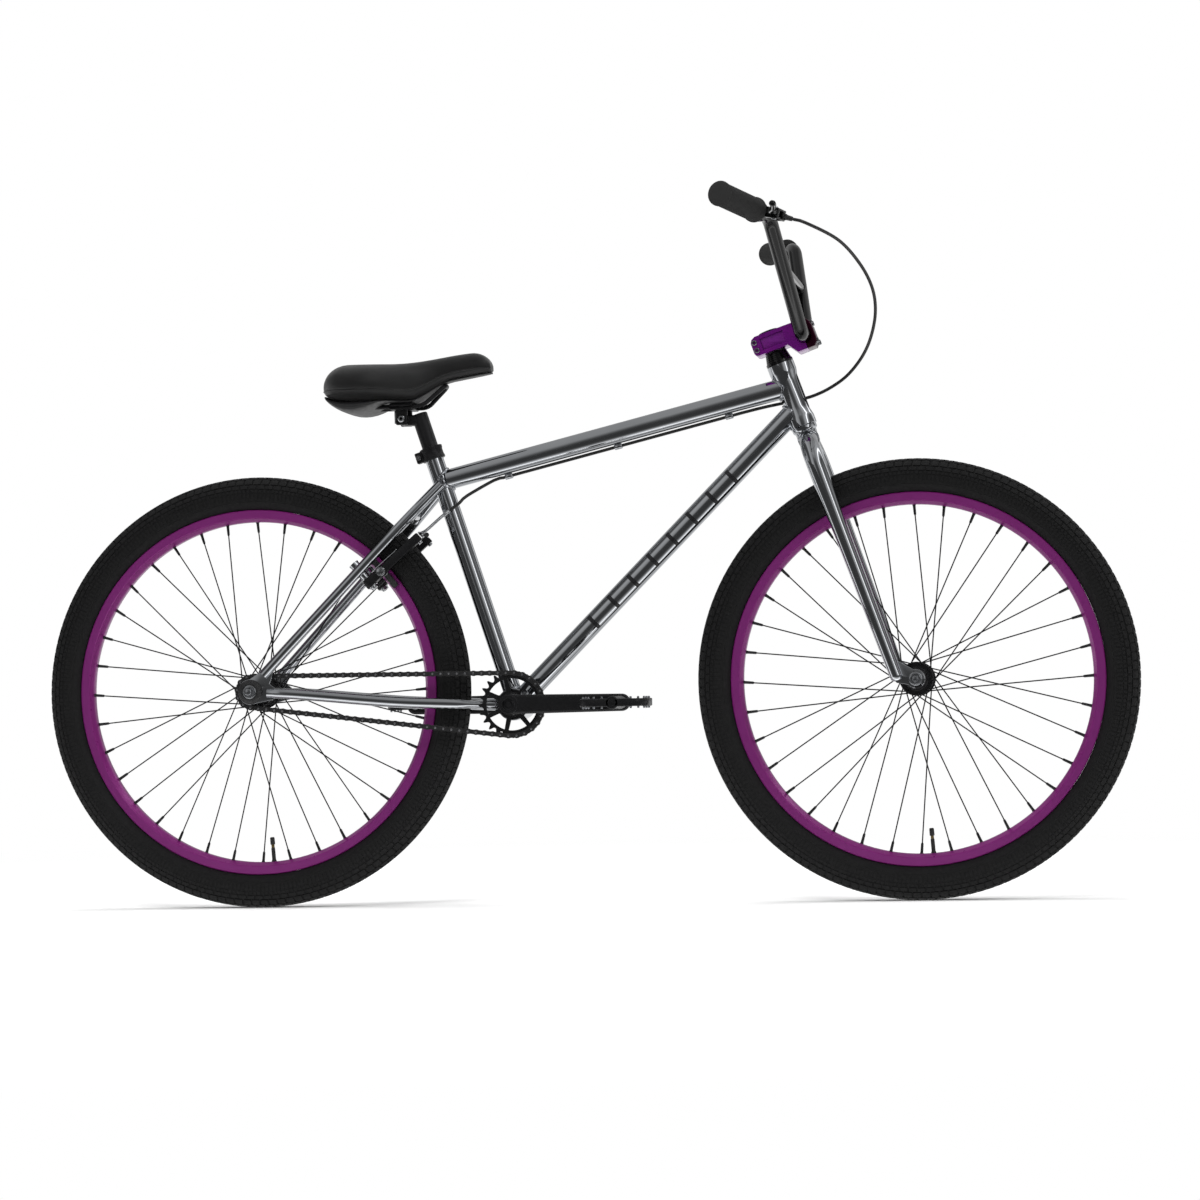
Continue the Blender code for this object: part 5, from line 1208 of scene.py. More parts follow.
class BIKE_OT_drive(bpy.types.Operator):
    """Adds the sprocket, the cog and the roller chain"""

    bl_idname = "bike.drive"
    bl_label = "Drive"

    def execute(self, context):
        pins = chain_pins()
        ahead = (BB.x - REAR_AXLE.x, BB.z - REAR_AXLE.z)
        self.sprocket(seat_phase(pins, ahead, SPROCKET_TEETH))
        self.cog(seat_phase(pins, (0, 0), COG_TEETH))
        self.chain(pins)
        return {"FINISHED"}

    def sprocket(self, phase):
        arms, inner, outer = 7, 0.0195, SPROCKET_RADIUS - 0.0085
        loops = [toothed(SPROCKET_TEETH, SPROCKET_RADIUS, phase)]
        for index in range(arms):
            middle = (index + 0.5) * 2 * pi / arms
            near_half = pi / arms - 0.0040 / inner
            far_half = pi / arms - 0.0032 / outer
            loops.append(circle((0, 0), inner, 4, middle - near_half, 2 * near_half)
                         + circle((0, 0), outer, 8, middle + far_half, -2 * far_half))
        place = BB - Y * CHAIN_LINE
        bm = bmesh.new()
        prism(bm, loops, 0.0032, place, X, Z, 0.0005, 1)
        turned(bm, [(0.0098, -0.0010), (0.0178, -0.0010), (0.0178, 0.0028), (0.0166, 0.0042),
                    (0.0160, 0.0180), (0.0098, 0.0180)], place, -Y, 56)
        piece("sprocket_plate", bm, "satin_black", "crankset", ("sprocket",),
              smooth=30)
        bm = bmesh.new()
        angle = radians(40)
        at = place + Vector((cos(angle), 0, sin(angle))) * 0.0262 - Y * 0.0016
        turned(bm, [(0, 0.0036), (0.0020, 0.0036), (0.0022, 0.0022), (0.0030, 0.0022),
                    (0.0052, 0.0030), (0.0058, 0.0020), (0.0058, 0), (0, 0)], at, -Y, 28,
               closed=False)
        piece("sprocket_bolt", bm, "zinc_plate", "crankset")

    def cog(self, phase):
        bm = bmesh.new()
        place = REAR_AXLE - Y * CHAIN_LINE
        prism(bm, [toothed(COG_TEETH, COG_RADIUS, phase), circle((0, 0), 0.0120, 32)], 0.0032,
              place, X, Z, 0.0005, 1)
        turned(bm, [(0.0053, 0.0385), (0.0138, 0.0385), (0.0145, 0.0392), (0.0145, 0.0488),
                    (0.0138, 0.0495), (0.0053, 0.0495)], REAR_AXLE, -Y, 40)
        piece("rear_cog_teeth", bm, "black_steel", "driver", ("rear_cog",),
              smooth=30)

    def chain(self, pins):
        half, eye, waist = CHAIN_PITCH / 2, 0.0043, 0.0033
        outline = (circle((half, 0), eye, 9, -2.15, 4.3) + [(0, waist)]
                   + circle((-half, 0), eye, 9, pi - 2.15, 4.3) + [(0, -waist)])
        rows = {"inner": 0.0025, "outer": 0.0037}
        places = {"inner": [], "outer": []}
        for index, pin in enumerate(pins):
            after = pins[(index + 1) % len(pins)]
            middle = (pin + after) / 2
            way = (after - pin).normalized()
            along = Vector((way.x, 0, way.y))
            turn = Matrix((along, Y, along.cross(Y))).transposed().to_4x4()
            centre = REAR_AXLE + Vector((middle.x, -CHAIN_LINE, middle.y))
            places["outer" if index % 2 else "inner"].append(Matrix.Translation(centre) @ turn)
        bm = bmesh.new()
        for row, offset in rows.items():
            unit = bmesh.new()
            for side in (1, -1):
                prism(unit, [outline], 0.0010, Y * side * offset, X, Z)
            repeat(bm, unit, places[row])
        piece("chain_plates", bm, "oiled_chain", "frame", ("chain",), smooth=50)
        bm, unit = bmesh.new(), bmesh.new()
        turned(unit, [(0, -0.0045), (0.0015, -0.0045), (0.0019, -0.0041), (0.0019, -0.0021),
                      (0.0038, -0.0019), (0.0038, 0.0019), (0.0019, 0.0021), (0.0019, 0.0041),
                      (0.0015, 0.0045), (0, 0.0045)], (0, 0, 0), Y, 12, closed=False)
        repeat(bm, unit, [Matrix.Translation(REAR_AXLE + Vector((pin.x, -CHAIN_LINE, pin.y)))
                          for pin in pins])
        piece("chain_rollers", bm, "roller_steel", "frame", smooth=50)


class BIKE_OT_cranks(bpy.types.Operator):
    """Adds the crank arms, their bolts, the spindle and the bottom bracket cups"""

    bl_idname = "bike.cranks"
    bl_label = "Cranks"

    def execute(self, context):
        for name in ("bottom_bracket_bearing_right", "bottom_bracket_bearing_left"):
            dress(name, "satin_black")
        dress("crank_spindle", "zinc_plate")
        for name, side in SIDES:
            self.arm(name, side)
        return {"FINISHED"}

    def arm(self, name, side):
        out, root = Y * side, BB + Y * side * CRANK_PLANE
        tip = -side * CRANK_LENGTH
        bm = bmesh.new()
        prism(bm, [belt((0, 0), 0.0150, (tip, 0), 0.0133, 24)], CRANK_THICKNESS - 0.002, root,
              X, Z, 0.0042, 4)
        face = CRANK_THICKNESS / 2
        turned(bm, [(0.0098, -face), (0.0148, -face), (0.0152, -face + 0.001),
                    (0.0152, face - 0.001), (0.0142, face + 0.0004), (0.0100, face + 0.0004),
                    (0.0098, face - 0.001)], root, out, 64)
        axis = BB + X * tip + Y * side * CRANK_PLANE
        turned(bm, [(0.0075, face - 0.001), (0.0122, face - 0.001), (0.0118, face),
                    (0.0105, face + 0.0004), (0.0075, face + 0.0004)], axis, out, 56)
        inner = BB_WIDTH / 2 + 0.005
        if side == LEFT:
            turned(bm, [(0.0100, inner), (0.0150, inner), (0.0155, inner + 0.001),
                        (0.0155, CRANK_PLANE), (0.0100, CRANK_PLANE)], BB, Y, 48)
        piece(f"crank_arm_{name}_forged", bm, "satin_black", "crankset",
              (f"crank_arm_{name}",), smooth=42)
        bm = bmesh.new()
        turned(bm, [(0, face - 0.0055), (0.0040, face - 0.0055), (0.0044, face - 0.0008),
                    (0.0070, face - 0.0002), (0.0090, face - 0.0012), (0.0092, face - 0.0035),
                    (0, face - 0.0060)], root, out, 48, closed=False)
        piece(f"crank_bolt_{name}", bm, "black_steel", "crankset")
        bm = bmesh.new()
        reach = face + PEDAL_GAP + PEDAL_WIDTH * 0.8
        turned(bm, [(0, -face - 0.0004), (0.0046, -face - 0.0004), (0.0060, 1e-3 - face),
                    (0.0065, 0.002), (0.0065, face + 0.0008), (0.0082, face + 0.0010),
                    (0.0084, face + 0.0018), (0.0084, face + 0.0030), (0.0070, face + 0.0038),
                    (0.0060, face + 0.0055), (0.0060, reach), (0, reach)], axis, out, 40,
               closed=False)
        piece(f"pedal_spindle_{name}", bm, "zinc_plate", "crankset")


class BIKE_OT_pedals(bpy.types.Operator):
    """Adds the platform pedals with their grip pins"""

    bl_idname = "bike.pedals"
    bl_label = "Pedals"

    def execute(self, context):
        for name, side in SIDES:
            self.pedal(name, side)
        return {"FINISHED"}

    def pedal(self, name, side):
        tip = -side * CRANK_LENGTH
        inner = CRANK_PLANE + CRANK_THICKNESS / 2 + PEDAL_GAP
        axis = BB + X * tip
        centre = axis + Y * side * (inner + PEDAL_WIDTH / 2)
        a, b, cut = PEDAL_LENGTH / 2, PEDAL_WIDTH / 2, 0.016
        loop = [(a, cut - b), (a, b - cut), (a - 0.006, b - 0.005), (a - cut, b),
                (cut - a, b), (0.006 - a, b - 0.005), (-a, b - cut), (-a, cut - b),
                (0.006 - a, 0.005 - b), (cut - a, -b), (a - cut, -b), (a - 0.006, 0.005 - b)]
        windows = []
        for sign in (1, -1):
            for low, high in ((0.0125 - b, -0.0020), (0.0020, b - 0.0125)):
                near, far, corner = 0.0150, a - 0.0095, 0.004
                window = [(near, low + corner), (near + corner, low), (far - corner, low),
                          (far, low + corner), (far, high - corner), (far - corner, high),
                          (near + corner, high), (near, high - corner)]
                windows.append([(sign * x, y) for x, y in window])
        bm = bmesh.new()
        prism(bm, [loop] + windows, 0.0118, centre, X, Y, 0.0014)
        turned(bm, [(0.0070, 0), (0.0088, 0), (0.0100, 0.0012), (0.0100, 0.010),
                    (0.0092, 0.016), (0.0092, PEDAL_WIDTH - 0.016),
                    (0.0100, PEDAL_WIDTH - 0.011), (0.0100, PEDAL_WIDTH - 0.0015),
                    (0.0088, PEDAL_WIDTH), (0.0060, PEDAL_WIDTH), (0.0056, PEDAL_WIDTH - 0.001),
                    (0, PEDAL_WIDTH - 0.001), (0, PEDAL_WIDTH * 0.9), (0.0070, PEDAL_WIDTH * 0.9)],
               axis + Y * side * inner, Y * side, 48)
        piece(f"pedal_{name}_platform", bm, "satin_black", f"pedal_{name}",
              (f"pedal_{name}",), smooth=36)
        bm, unit = bmesh.new(), bmesh.new()
        turned(unit, [(0, 0), (0.0021, 0), (0.0021, 0.0010), (0.0017, 0.0014),
                      (0.0017, 0.0030), (0.0013, 0.0035), (0, 0.0035)], (0, 0, 0), Z, 12,
               closed=False)
        places = []
        for face in (1, -1):
            flip = Matrix.Rotation(0 if face > 0 else pi, 4, "X")
            for sx in (1, -1):
                spots = [(sx * (a - 0.0046), y) for y in (-0.027, 0.0, 0.027)]
                spots += [(sx * 0.028, sy * (b - 0.0058)) for sy in (1, -1)]
                for x, y in spots:
                    lift = centre + Vector((x, y, face * 0.0056))
                    places.append(Matrix.Translation(lift) @ flip)
        repeat(bm, unit, places)
        piece(f"pedal_pins_{name}", bm, "zinc_plate", f"pedal_{name}")


# ---------------------------------------------------------------- steering


class BIKE_OT_fork(bpy.types.Operator):
    """Adds the fork with its tapered legs, tips and crown race"""

    bl_idname = "bike.fork"
    bl_label = "Fork"

    def execute(self, context):
        crown, spread = FORK_CROWN, LEG_SPREAD
        bm = bmesh.new()
        rod(bm, steer(crown - 0.010), steer(STEM_START + STEM_HEIGHT - 0.001), STEERER_RADIUS,
            48)
        race = HEAD_START - GAP - crown
        turned(bm, [(0.0125, race), (0.0190, race), (0.0195, race - 0.0006),
                    (0.0195, race - 0.0045), (0.0188, race - 0.0065), (0.0168, race - 0.0085),
                    (0.0158, 0.006), (0.0152, -0.004), (0.0125, -0.004)], steer(crown),
               STEER_UP, 72)
        for _, side in SIDES:
            path = rounded_path([steer(crown + 0.008, 0, side * 0.002),
                                 steer(crown - 0.014, 0, side * spread),
                                 steer(0.014, 0, side * spread)], (0.040,), 12)
            last = path[-1]
            path = path[:-1] + [path[-2].lerp(last, share / 18) for share in range(1, 19)]
            total = sum((b - a).length for a, b in zip(path, path[1:]))
            radii, gone = [], 0.0
            for index, point in enumerate(path):
                if index:
                    gone += (point - path[index - 1]).length
                share = gone / total
                bulge = 0.0012 * sin(min(1.0, share / 0.45) * pi) ** 2
                radii.append(STEERER_RADIUS * (1 - share) + 0.0100 * share + bulge)
            swept(bm, path, radii, 36)
            turned(bm, [(0, 0), (0.0100, 0), (0.0096, 0.003), (0.0072, 0.0065),
                        (0, 0.0078)], last, -STEER_UP, 32, closed=False)
            self.tip(bm, side)
        piece("fork_unicrown", bm, "chrome_plate", "steering", ("fork",))
        bm = bmesh.new()
        for _, side in SIDES:
            start = steer(crown + 0.008, 0, side * 0.002)
            way = steer(crown - 0.014, 0, side * spread) - start
            weld(bm, start, way, STEERER_RADIUS, steer(0), STEER_UP, 0.0150, 0.0018)
        piece("fork_welds", bm, "chrome_weld", "steering")
        return {"FINISHED"}

    def tip(self, bm, side):
        slot, radius = AXLE_RADIUS + GAP, 0.0145
        mouth = atan2(slot, sqrt(radius * radius - slot * slot))
        loop = (circle((0, 0), radius, 14, -pi / 2 + mouth, pi - 0.5)
                + [(0.004 - FORK_OFFSET, 0.042), (-FORK_OFFSET - 0.003, 0.043),
                   (-FORK_OFFSET - 0.006, 0.038), (-FORK_OFFSET - 0.006, 0.010),
                   (-FORK_OFFSET - 0.003, 0.004)]
                + circle((0, 0), radius, 6, -pi / 2 - mouth - 0.9, 0.9)
                + circle((0, 0), slot, 12, 0, pi)[::-1])
        prism(bm, [loop], PLATE, FRONT_AXLE + Y * side * (FRONT_SPACING + PLATE) / 2,
              STEER_FORWARD, STEER_UP, 0.0007)


class BIKE_OT_headset(bpy.types.Operator):
    """Adds the headset bearings, the conical cover and the stem's top cap"""

    bl_idname = "bike.headset"
    bl_label = "Headset"

    def execute(self, context):
        for name in ("headset_bearing_lower", "headset_bearing_upper"):
            dress(name, "zinc_plate")
        base = steer(HEAD_START + HEAD_LENGTH + GAP)
        inner, height = STEERER_RADIUS + GAP, CAP_HEIGHT
        bm = bmesh.new()
        steps = [(HEAD_END_RADIUS, 0.0008), (HEAD_END_RADIUS, 0.0042)]
        for index in range(5):
            share = index / 5
            radius = HEAD_END_RADIUS - 0.0012 - 0.0033 * share
            low = 0.0046 + 0.0148 * share
            steps += [(radius, low), (radius - 0.0003, low + 0.0022),
                      (radius - 0.0012, low + 0.0026)]
        turned(bm, [(inner, 0), (HEAD_END_RADIUS - 0.0008, 0)] + steps
               + [(inner + 0.0022, height - 0.0006), (inner + 0.0016, height),
                  (inner, height)], base, STEER_UP, 72)
        piece("headset_cover", bm, "gloss_enamel", "steering", ("headset_cap",))
        top = steer(STEM_START + STEM_HEIGHT)
        bm = bmesh.new()
        turned(bm, [(0, -0.0030), (0.0138, -0.0030), (0.0140, 0.0004), (0.0158, 0.0004),
                    (0.0162, 0.0012), (0.0158, 0.0026), (0.0146, 0.0034), (0.0056, 0.0034),
                    (0.0050, 0.0016), (0, 0.0016)], top, STEER_UP, 64, closed=False)
        piece("top_cap", bm, "satin_black", "steering")
        bm = bmesh.new()
        turned(bm, [(0.0022, 0.0016), (0.0022, 0.0044), (0.0038, 0.0044), (0.0043, 0.0036),
                    (0.0043, 0.0008), (0, 0.0008), (0, 0.0026)], top, STEER_UP, 24,
               closed=False)
        piece("top_cap_bolt", bm, "stainless", "steering")
        return {"FINISHED"}


class BIKE_OT_stem(bpy.types.Operator):
    """Adds the front-load stem, its faceplate and its bolts"""

    bl_idname = "bike.stem"
    bl_label = "Stem"

    def execute(self, context):
        low, high = STEM_START, STEM_START + STEM_HEIGHT
        bar_low, bar_high = BAR_STATION - 0.021, BAR_STATION + 0.025
        face = STEM_REACH
        groove = circle((face, BAR_STATION), BAR_RADIUS + 0.0005, 16, pi / 2, pi)[::-1]
        body = [(-0.030, low + 0.005), (-0.0285, low + 0.0015), (-0.025, low), (0.023, low),
                (0.034, bar_low), (face - GAP, bar_low)]
        body += [(min(x, face - GAP), y) for x, y in groove[::-1]]
        body += [(face - GAP, bar_high), (face - 0.012, bar_high), (face - 0.025, high),
                 (-0.021, high), (-0.027, high - 0.003), (-0.030, high - 0.008)]
        pocket = [(-0.015, low + 0.006), (0.021, low + 0.006), (0.023, high - 0.006),
                  (-0.015, high - 0.006)]
        bm = bmesh.new()
        prism(bm, [body], STEM_WIDTH - 0.008, STEER_FOOT, STEER_FORWARD, STEER_UP, 0.0016, 3)
        for side in (1, -1):
            prism(bm, [body, pocket], 0.004, STEER_FOOT + Y * side * (STEM_WIDTH / 2 - 0.0022),
                  STEER_FORWARD, STEER_UP, 0.0014, 3)
        piece("stem_body", bm, "anodised_stem", "steering", ("stem",))

        front = [(face + GAP, bar_low), (face + 0.012, bar_low),
                 (face + 0.0165, bar_low + 0.006), (face + 0.018, bar_low + 0.012),
                 (face + 0.018, bar_high - 0.014), (face + 0.016, bar_high - 0.006),
                 (face + 0.011, bar_high), (face + GAP, bar_high)]
        half = circle((face, BAR_STATION), BAR_RADIUS + 0.0005, 16, -pi / 2, pi)[::-1]
        front += [(max(x, face + GAP), y) for x, y in half]
        bm = bmesh.new()
        prism(bm, [front], STEM_WIDTH, STEER_FOOT, STEER_FORWARD, STEER_UP, 0.0018, 3)
        piece("stem_front_plate", bm, "anodised_plate", "steering", ("stem_faceplate",))

        bm = bmesh.new()
        for across in (1, -1):
            for station in (bar_low + 0.0068, bar_high - 0.0080):
                self.bolt(bm, steer(station, face + 0.0172, across * 0.0175), STEER_FORWARD)
        for station in (low + 0.0085, high - 0.0090):
            self.bolt(bm, steer(station, -0.0245, -STEM_WIDTH / 2 + 0.0004), -Y)
            self.bolt(bm, steer(station, -0.0245, STEM_WIDTH / 2 - 0.0004), Y)
        piece("stem_bolts", bm, "zinc_plate", "steering")
        return {"FINISHED"}

    def bolt(self, bm, place, way):
        """A socket-head bolt: a chamfered head with a deep round recess."""
        turned(bm, [(0.0022, 0.0002), (0.0022, 0.0030), (0.0034, 0.0030), (0.0040, 0.0024),
                    (0.0040, -0.0020), (0, -0.0020), (0, 0.0002)], place, way, 24,
               closed=False)


def bar_corners():
    """Corner points of the bar's right half, from the stem outwards."""
    half = bpy.context.scene.bike_steering.bar_half_width
    return [steer(BAR_STATION, STEM_REACH, -0.056),
            steer(BAR_STATION + 0.162, STEM_REACH + 0.024, -0.205),
            steer(BAR_STATION + 0.194, STEM_REACH - 0.023, -half)]


def grip_frame(side):
    """The grip's outer end, the way out along it and the way forward from it."""
    _, inner, outer = bar_corners()
    if side == LEFT:
        inner, outer = mirrored(inner), mirrored(outer)
    out = (outer - inner).normalized()
    return outer, out, (X - out * X.dot(out)).normalized()


class BIKE_OT_handlebar(bpy.types.Operator):
    """Adds the bar with its crossbar and the ribbed grips"""

    bl_idname = "bike.handlebar"
    bl_label = "Handlebar and grips"

    def execute(self, context):
        corners = bar_corners()
        whole = [mirrored(corner) for corner in reversed(corners)] + corners
        path = rounded_path(whole, (0.042, 0.034, 0.034, 0.042), 14)
        bm = bmesh.new()
        swept(bm, path, BAR_RADIUS, 36)
        low, high = corners[0], corners[1]
        end = low.lerp(high, 0.56)
        rod(bm, mirrored(end), end, 0.008, 32)
        piece("bar_bent_tube", bm, "gloss_enamel", "steering", ("handlebar",))
        bm = bmesh.new()
        for side in (1, -1):
            place = end if side == 1 else mirrored(end)
            way = high - low if side == 1 else mirrored(high) - mirrored(low)
            weld(bm, place, Y * side, 0.008, place, way, BAR_RADIUS, 0.0016)
        piece("bar_welds", bm, "gloss_enamel", "steering")
        for name, side in SIDES:
            self.grip(name, side)
        return {"FINISHED"}

    def grip(self, name, side):
        end, out, _ = grip_frame(side)
        ribs = bpy.context.scene.bike_steering.grip_ribs
        inner = BAR_RADIUS + GAP
        first, last = -0.006, 0.014 - GRIP_LENGTH
        profile = [(0, 0.0025), (0.0080, 0.0025), (GRIP_RADIUS - 0.0016, 0.0022),
                   (GRIP_RADIUS + 0.0004, 0.0014), (GRIP_RADIUS + 0.0012, 0.0002),
                   (GRIP_RADIUS + 0.0010, -0.0024), (GRIP_RADIUS - 0.0004, -0.0034)]
        for index in range(ribs):
            start = first + (last - first) * index / ribs
            pitch = (last - first) / ribs
            profile += [(GRIP_RADIUS - 0.0010, start), (GRIP_RADIUS + 0.0001, start + pitch * 0.3),
                        (GRIP_RADIUS + 0.0001, start + pitch * 0.62),
                        (GRIP_RADIUS - 0.0010, start + pitch * 0.9)]
        profile += [(GRIP_RADIUS - 0.0008, last), (GRIP_RADIUS - 0.0006, 0.0075 - GRIP_LENGTH),
                    (GRIP_RADIUS + 0.0010, 0.0048 - GRIP_LENGTH),
                    (GRIP_RADIUS + 0.0014, 0.0036 - GRIP_LENGTH),
                    (GRIP_RADIUS + 0.0014, 0.0010 - GRIP_LENGTH),
                    (GRIP_RADIUS + 0.0006, -GRIP_LENGTH), (inner, -GRIP_LENGTH),
                    (inner, -GAP), (0, -GAP)]
        bm = bmesh.new()
        turned(bm, profile, end, out, 56, closed=False)
        piece(f"grip_{name}_ribbed", bm, "grip_rubber", "steering", (f"grip_{name}",),
              smooth=50)


def lever_frame():
    end, out, ahead = grip_frame(RIGHT)
    centre = end - out * (GRIP_LENGTH + 0.0088)
    down = ahead.cross(out).normalized()
    ahead = ahead * cos(LEVER_DROP) + down * sin(LEVER_DROP)
    return centre, out, ahead, ahead.cross(out).normalized()


def barrel_end():
    """Where the cable leaves the lever's adjuster, and its way out."""
    centre, out, ahead, up = lever_frame()
    way = (ahead * 0.80 - out * 0.60 + up * 0.06).normalized()
    start = centre + ahead * (LEVER_AHEAD - 0.002) - out * 0.014
    return start, start + way * 0.022, way


class BIKE_OT_lever(bpy.types.Operator):
    """Adds the brake lever with its clamp, adjuster and blade"""

    bl_idname = "bike.lever"
    bl_label = "Brake lever"

    def execute(self, context):
        centre, out, ahead, up = lever_frame()
        inner = BAR_RADIUS + GAP
        bm = bmesh.new()
        turned(bm, [(inner, -0.007), (inner + 0.0028, -0.007), (inner + 0.0035, -0.0063),
                    (inner + 0.0035, 0.0063), (inner + 0.0028, 0.007), (inner, 0.007)],
               centre, out, 48)
        turn = Matrix((out, ahead, up)).transposed()
        start, end = inner + 0.001, LEVER_AHEAD + 0.007
        middle = centre + ahead * (start + end) / 2 - out * 0.006
        for across in (1, -1):
            block(bm, middle + up * across * 0.0063, (0.028, end - start, 0.0034), turn,
                  0.0012, 3)
        block(bm, centre + ahead * (start + 0.008) - out * 0.006, (0.028, 0.015, 0.0155), turn,
              0.0022, 3)
        block(bm, middle - out * 0.0095, (0.009, end - start, 0.0140), turn, 0.0022, 3)
        pivot = centre + ahead * LEVER_AHEAD + out * 0.004
        piece("lever_perch", bm, "gloss_enamel", "steering", ("lever_clamp",))

        bm = bmesh.new()
        for side in (1, -1):
            turned(bm, [(0, 0.0006), (0.0016, 0.0006), (0.0018, 0.0020), (0.0034, 0.0018),
                        (0.0040, 0.0010), (0.0040, 0), (0, 0)], pivot + up * side * 0.0079,
                   up * side, 24, closed=False)
        rod(bm, pivot - up * 0.0078, pivot + up * 0.0078, 0.0024, 20)
        clamp = centre - ahead * (inner + 0.0048)
        rod(bm, clamp - up * 0.0085, clamp + up * 0.0085, 0.0024, 16, bevel=0.0004)
        piece("lever_pins", bm, "stainless", "steering")

        begin, _, way = barrel_end()
        bm = bmesh.new()
        teeth, crest, root, half_step = [], 0.0050, 0.0044, 0.196
        for index in range(16):
            angle = 2 * pi * index / 16
            teeth += [(crest * cos(angle), crest * sin(angle)),
                      (root * cos(angle + half_step), root * sin(angle + half_step))]
        side_way = way.orthogonal().normalized()
        prism(bm, [teeth], 0.0070, begin + way * 0.0085, side_way, way.cross(side_way), 0.0004,
              1)
        turned(bm, [(0, -0.004), (0.0036, -0.004), (0.0036, 0.005), (0.0042, 0.005),
                    (0.0042, 0.0120), (0.0040, 0.0140), (0.0036, 0.0205), (0.0030, 0.022),
                    (0.0026, 0.022), (0, 0.0215)], begin, way, 24, closed=False)
        piece("lever_adjuster", bm, "nylon", "steering")

        spine = smooth_path([pivot + out * a + ahead * b for a, b in (
            (0.0, 0.0), (0.018, 0.0018), (0.045, 0.0188), (0.068, 0.0302), (0.084, 0.0376),
            (LEVER_LENGTH, 0.0403))], 0.004)
        widths = []
        for index in range(len(spine)):
            share = index / (len(spine) - 1)
            widths.append(0.0056 - 0.0014 * min(1.0, share * 3) + 0.0004 * share)
        bm = bmesh.new()
        swept(bm, spine, widths, 20)
        ball(bm, spine[-1], 0.0052, 9)
        flat = 0.0044
        turned(bm, [(0.0028, -flat), (0.0068, -flat), (0.0072, 0.0006 - flat),
                    (0.0072, flat - 0.0006), (0.0068, flat), (0.0028, flat)], pivot, up, 32)
        # Both sides of the blade are pressed flat, at the same height as its boss.
        for vert in bm.verts:
            lift = (vert.co - pivot).dot(up)
            vert.co -= up * (lift - max(-flat, min(flat, lift * 0.95)))
        piece("lever_blade_forged", bm, "gloss_enamel", "brake_lever", ("lever_blade",))
        return {"FINISHED"}


# ---------------------------------------------------------------- brake


def arm_place(side, along=0.0):
    """A point on a brake arm's line, its distance out from the pivot."""
    return REAR_AXLE + BRAKE_OUT * (BRAKE_PIVOT + along) + Y * side * BRAKE_SPREAD


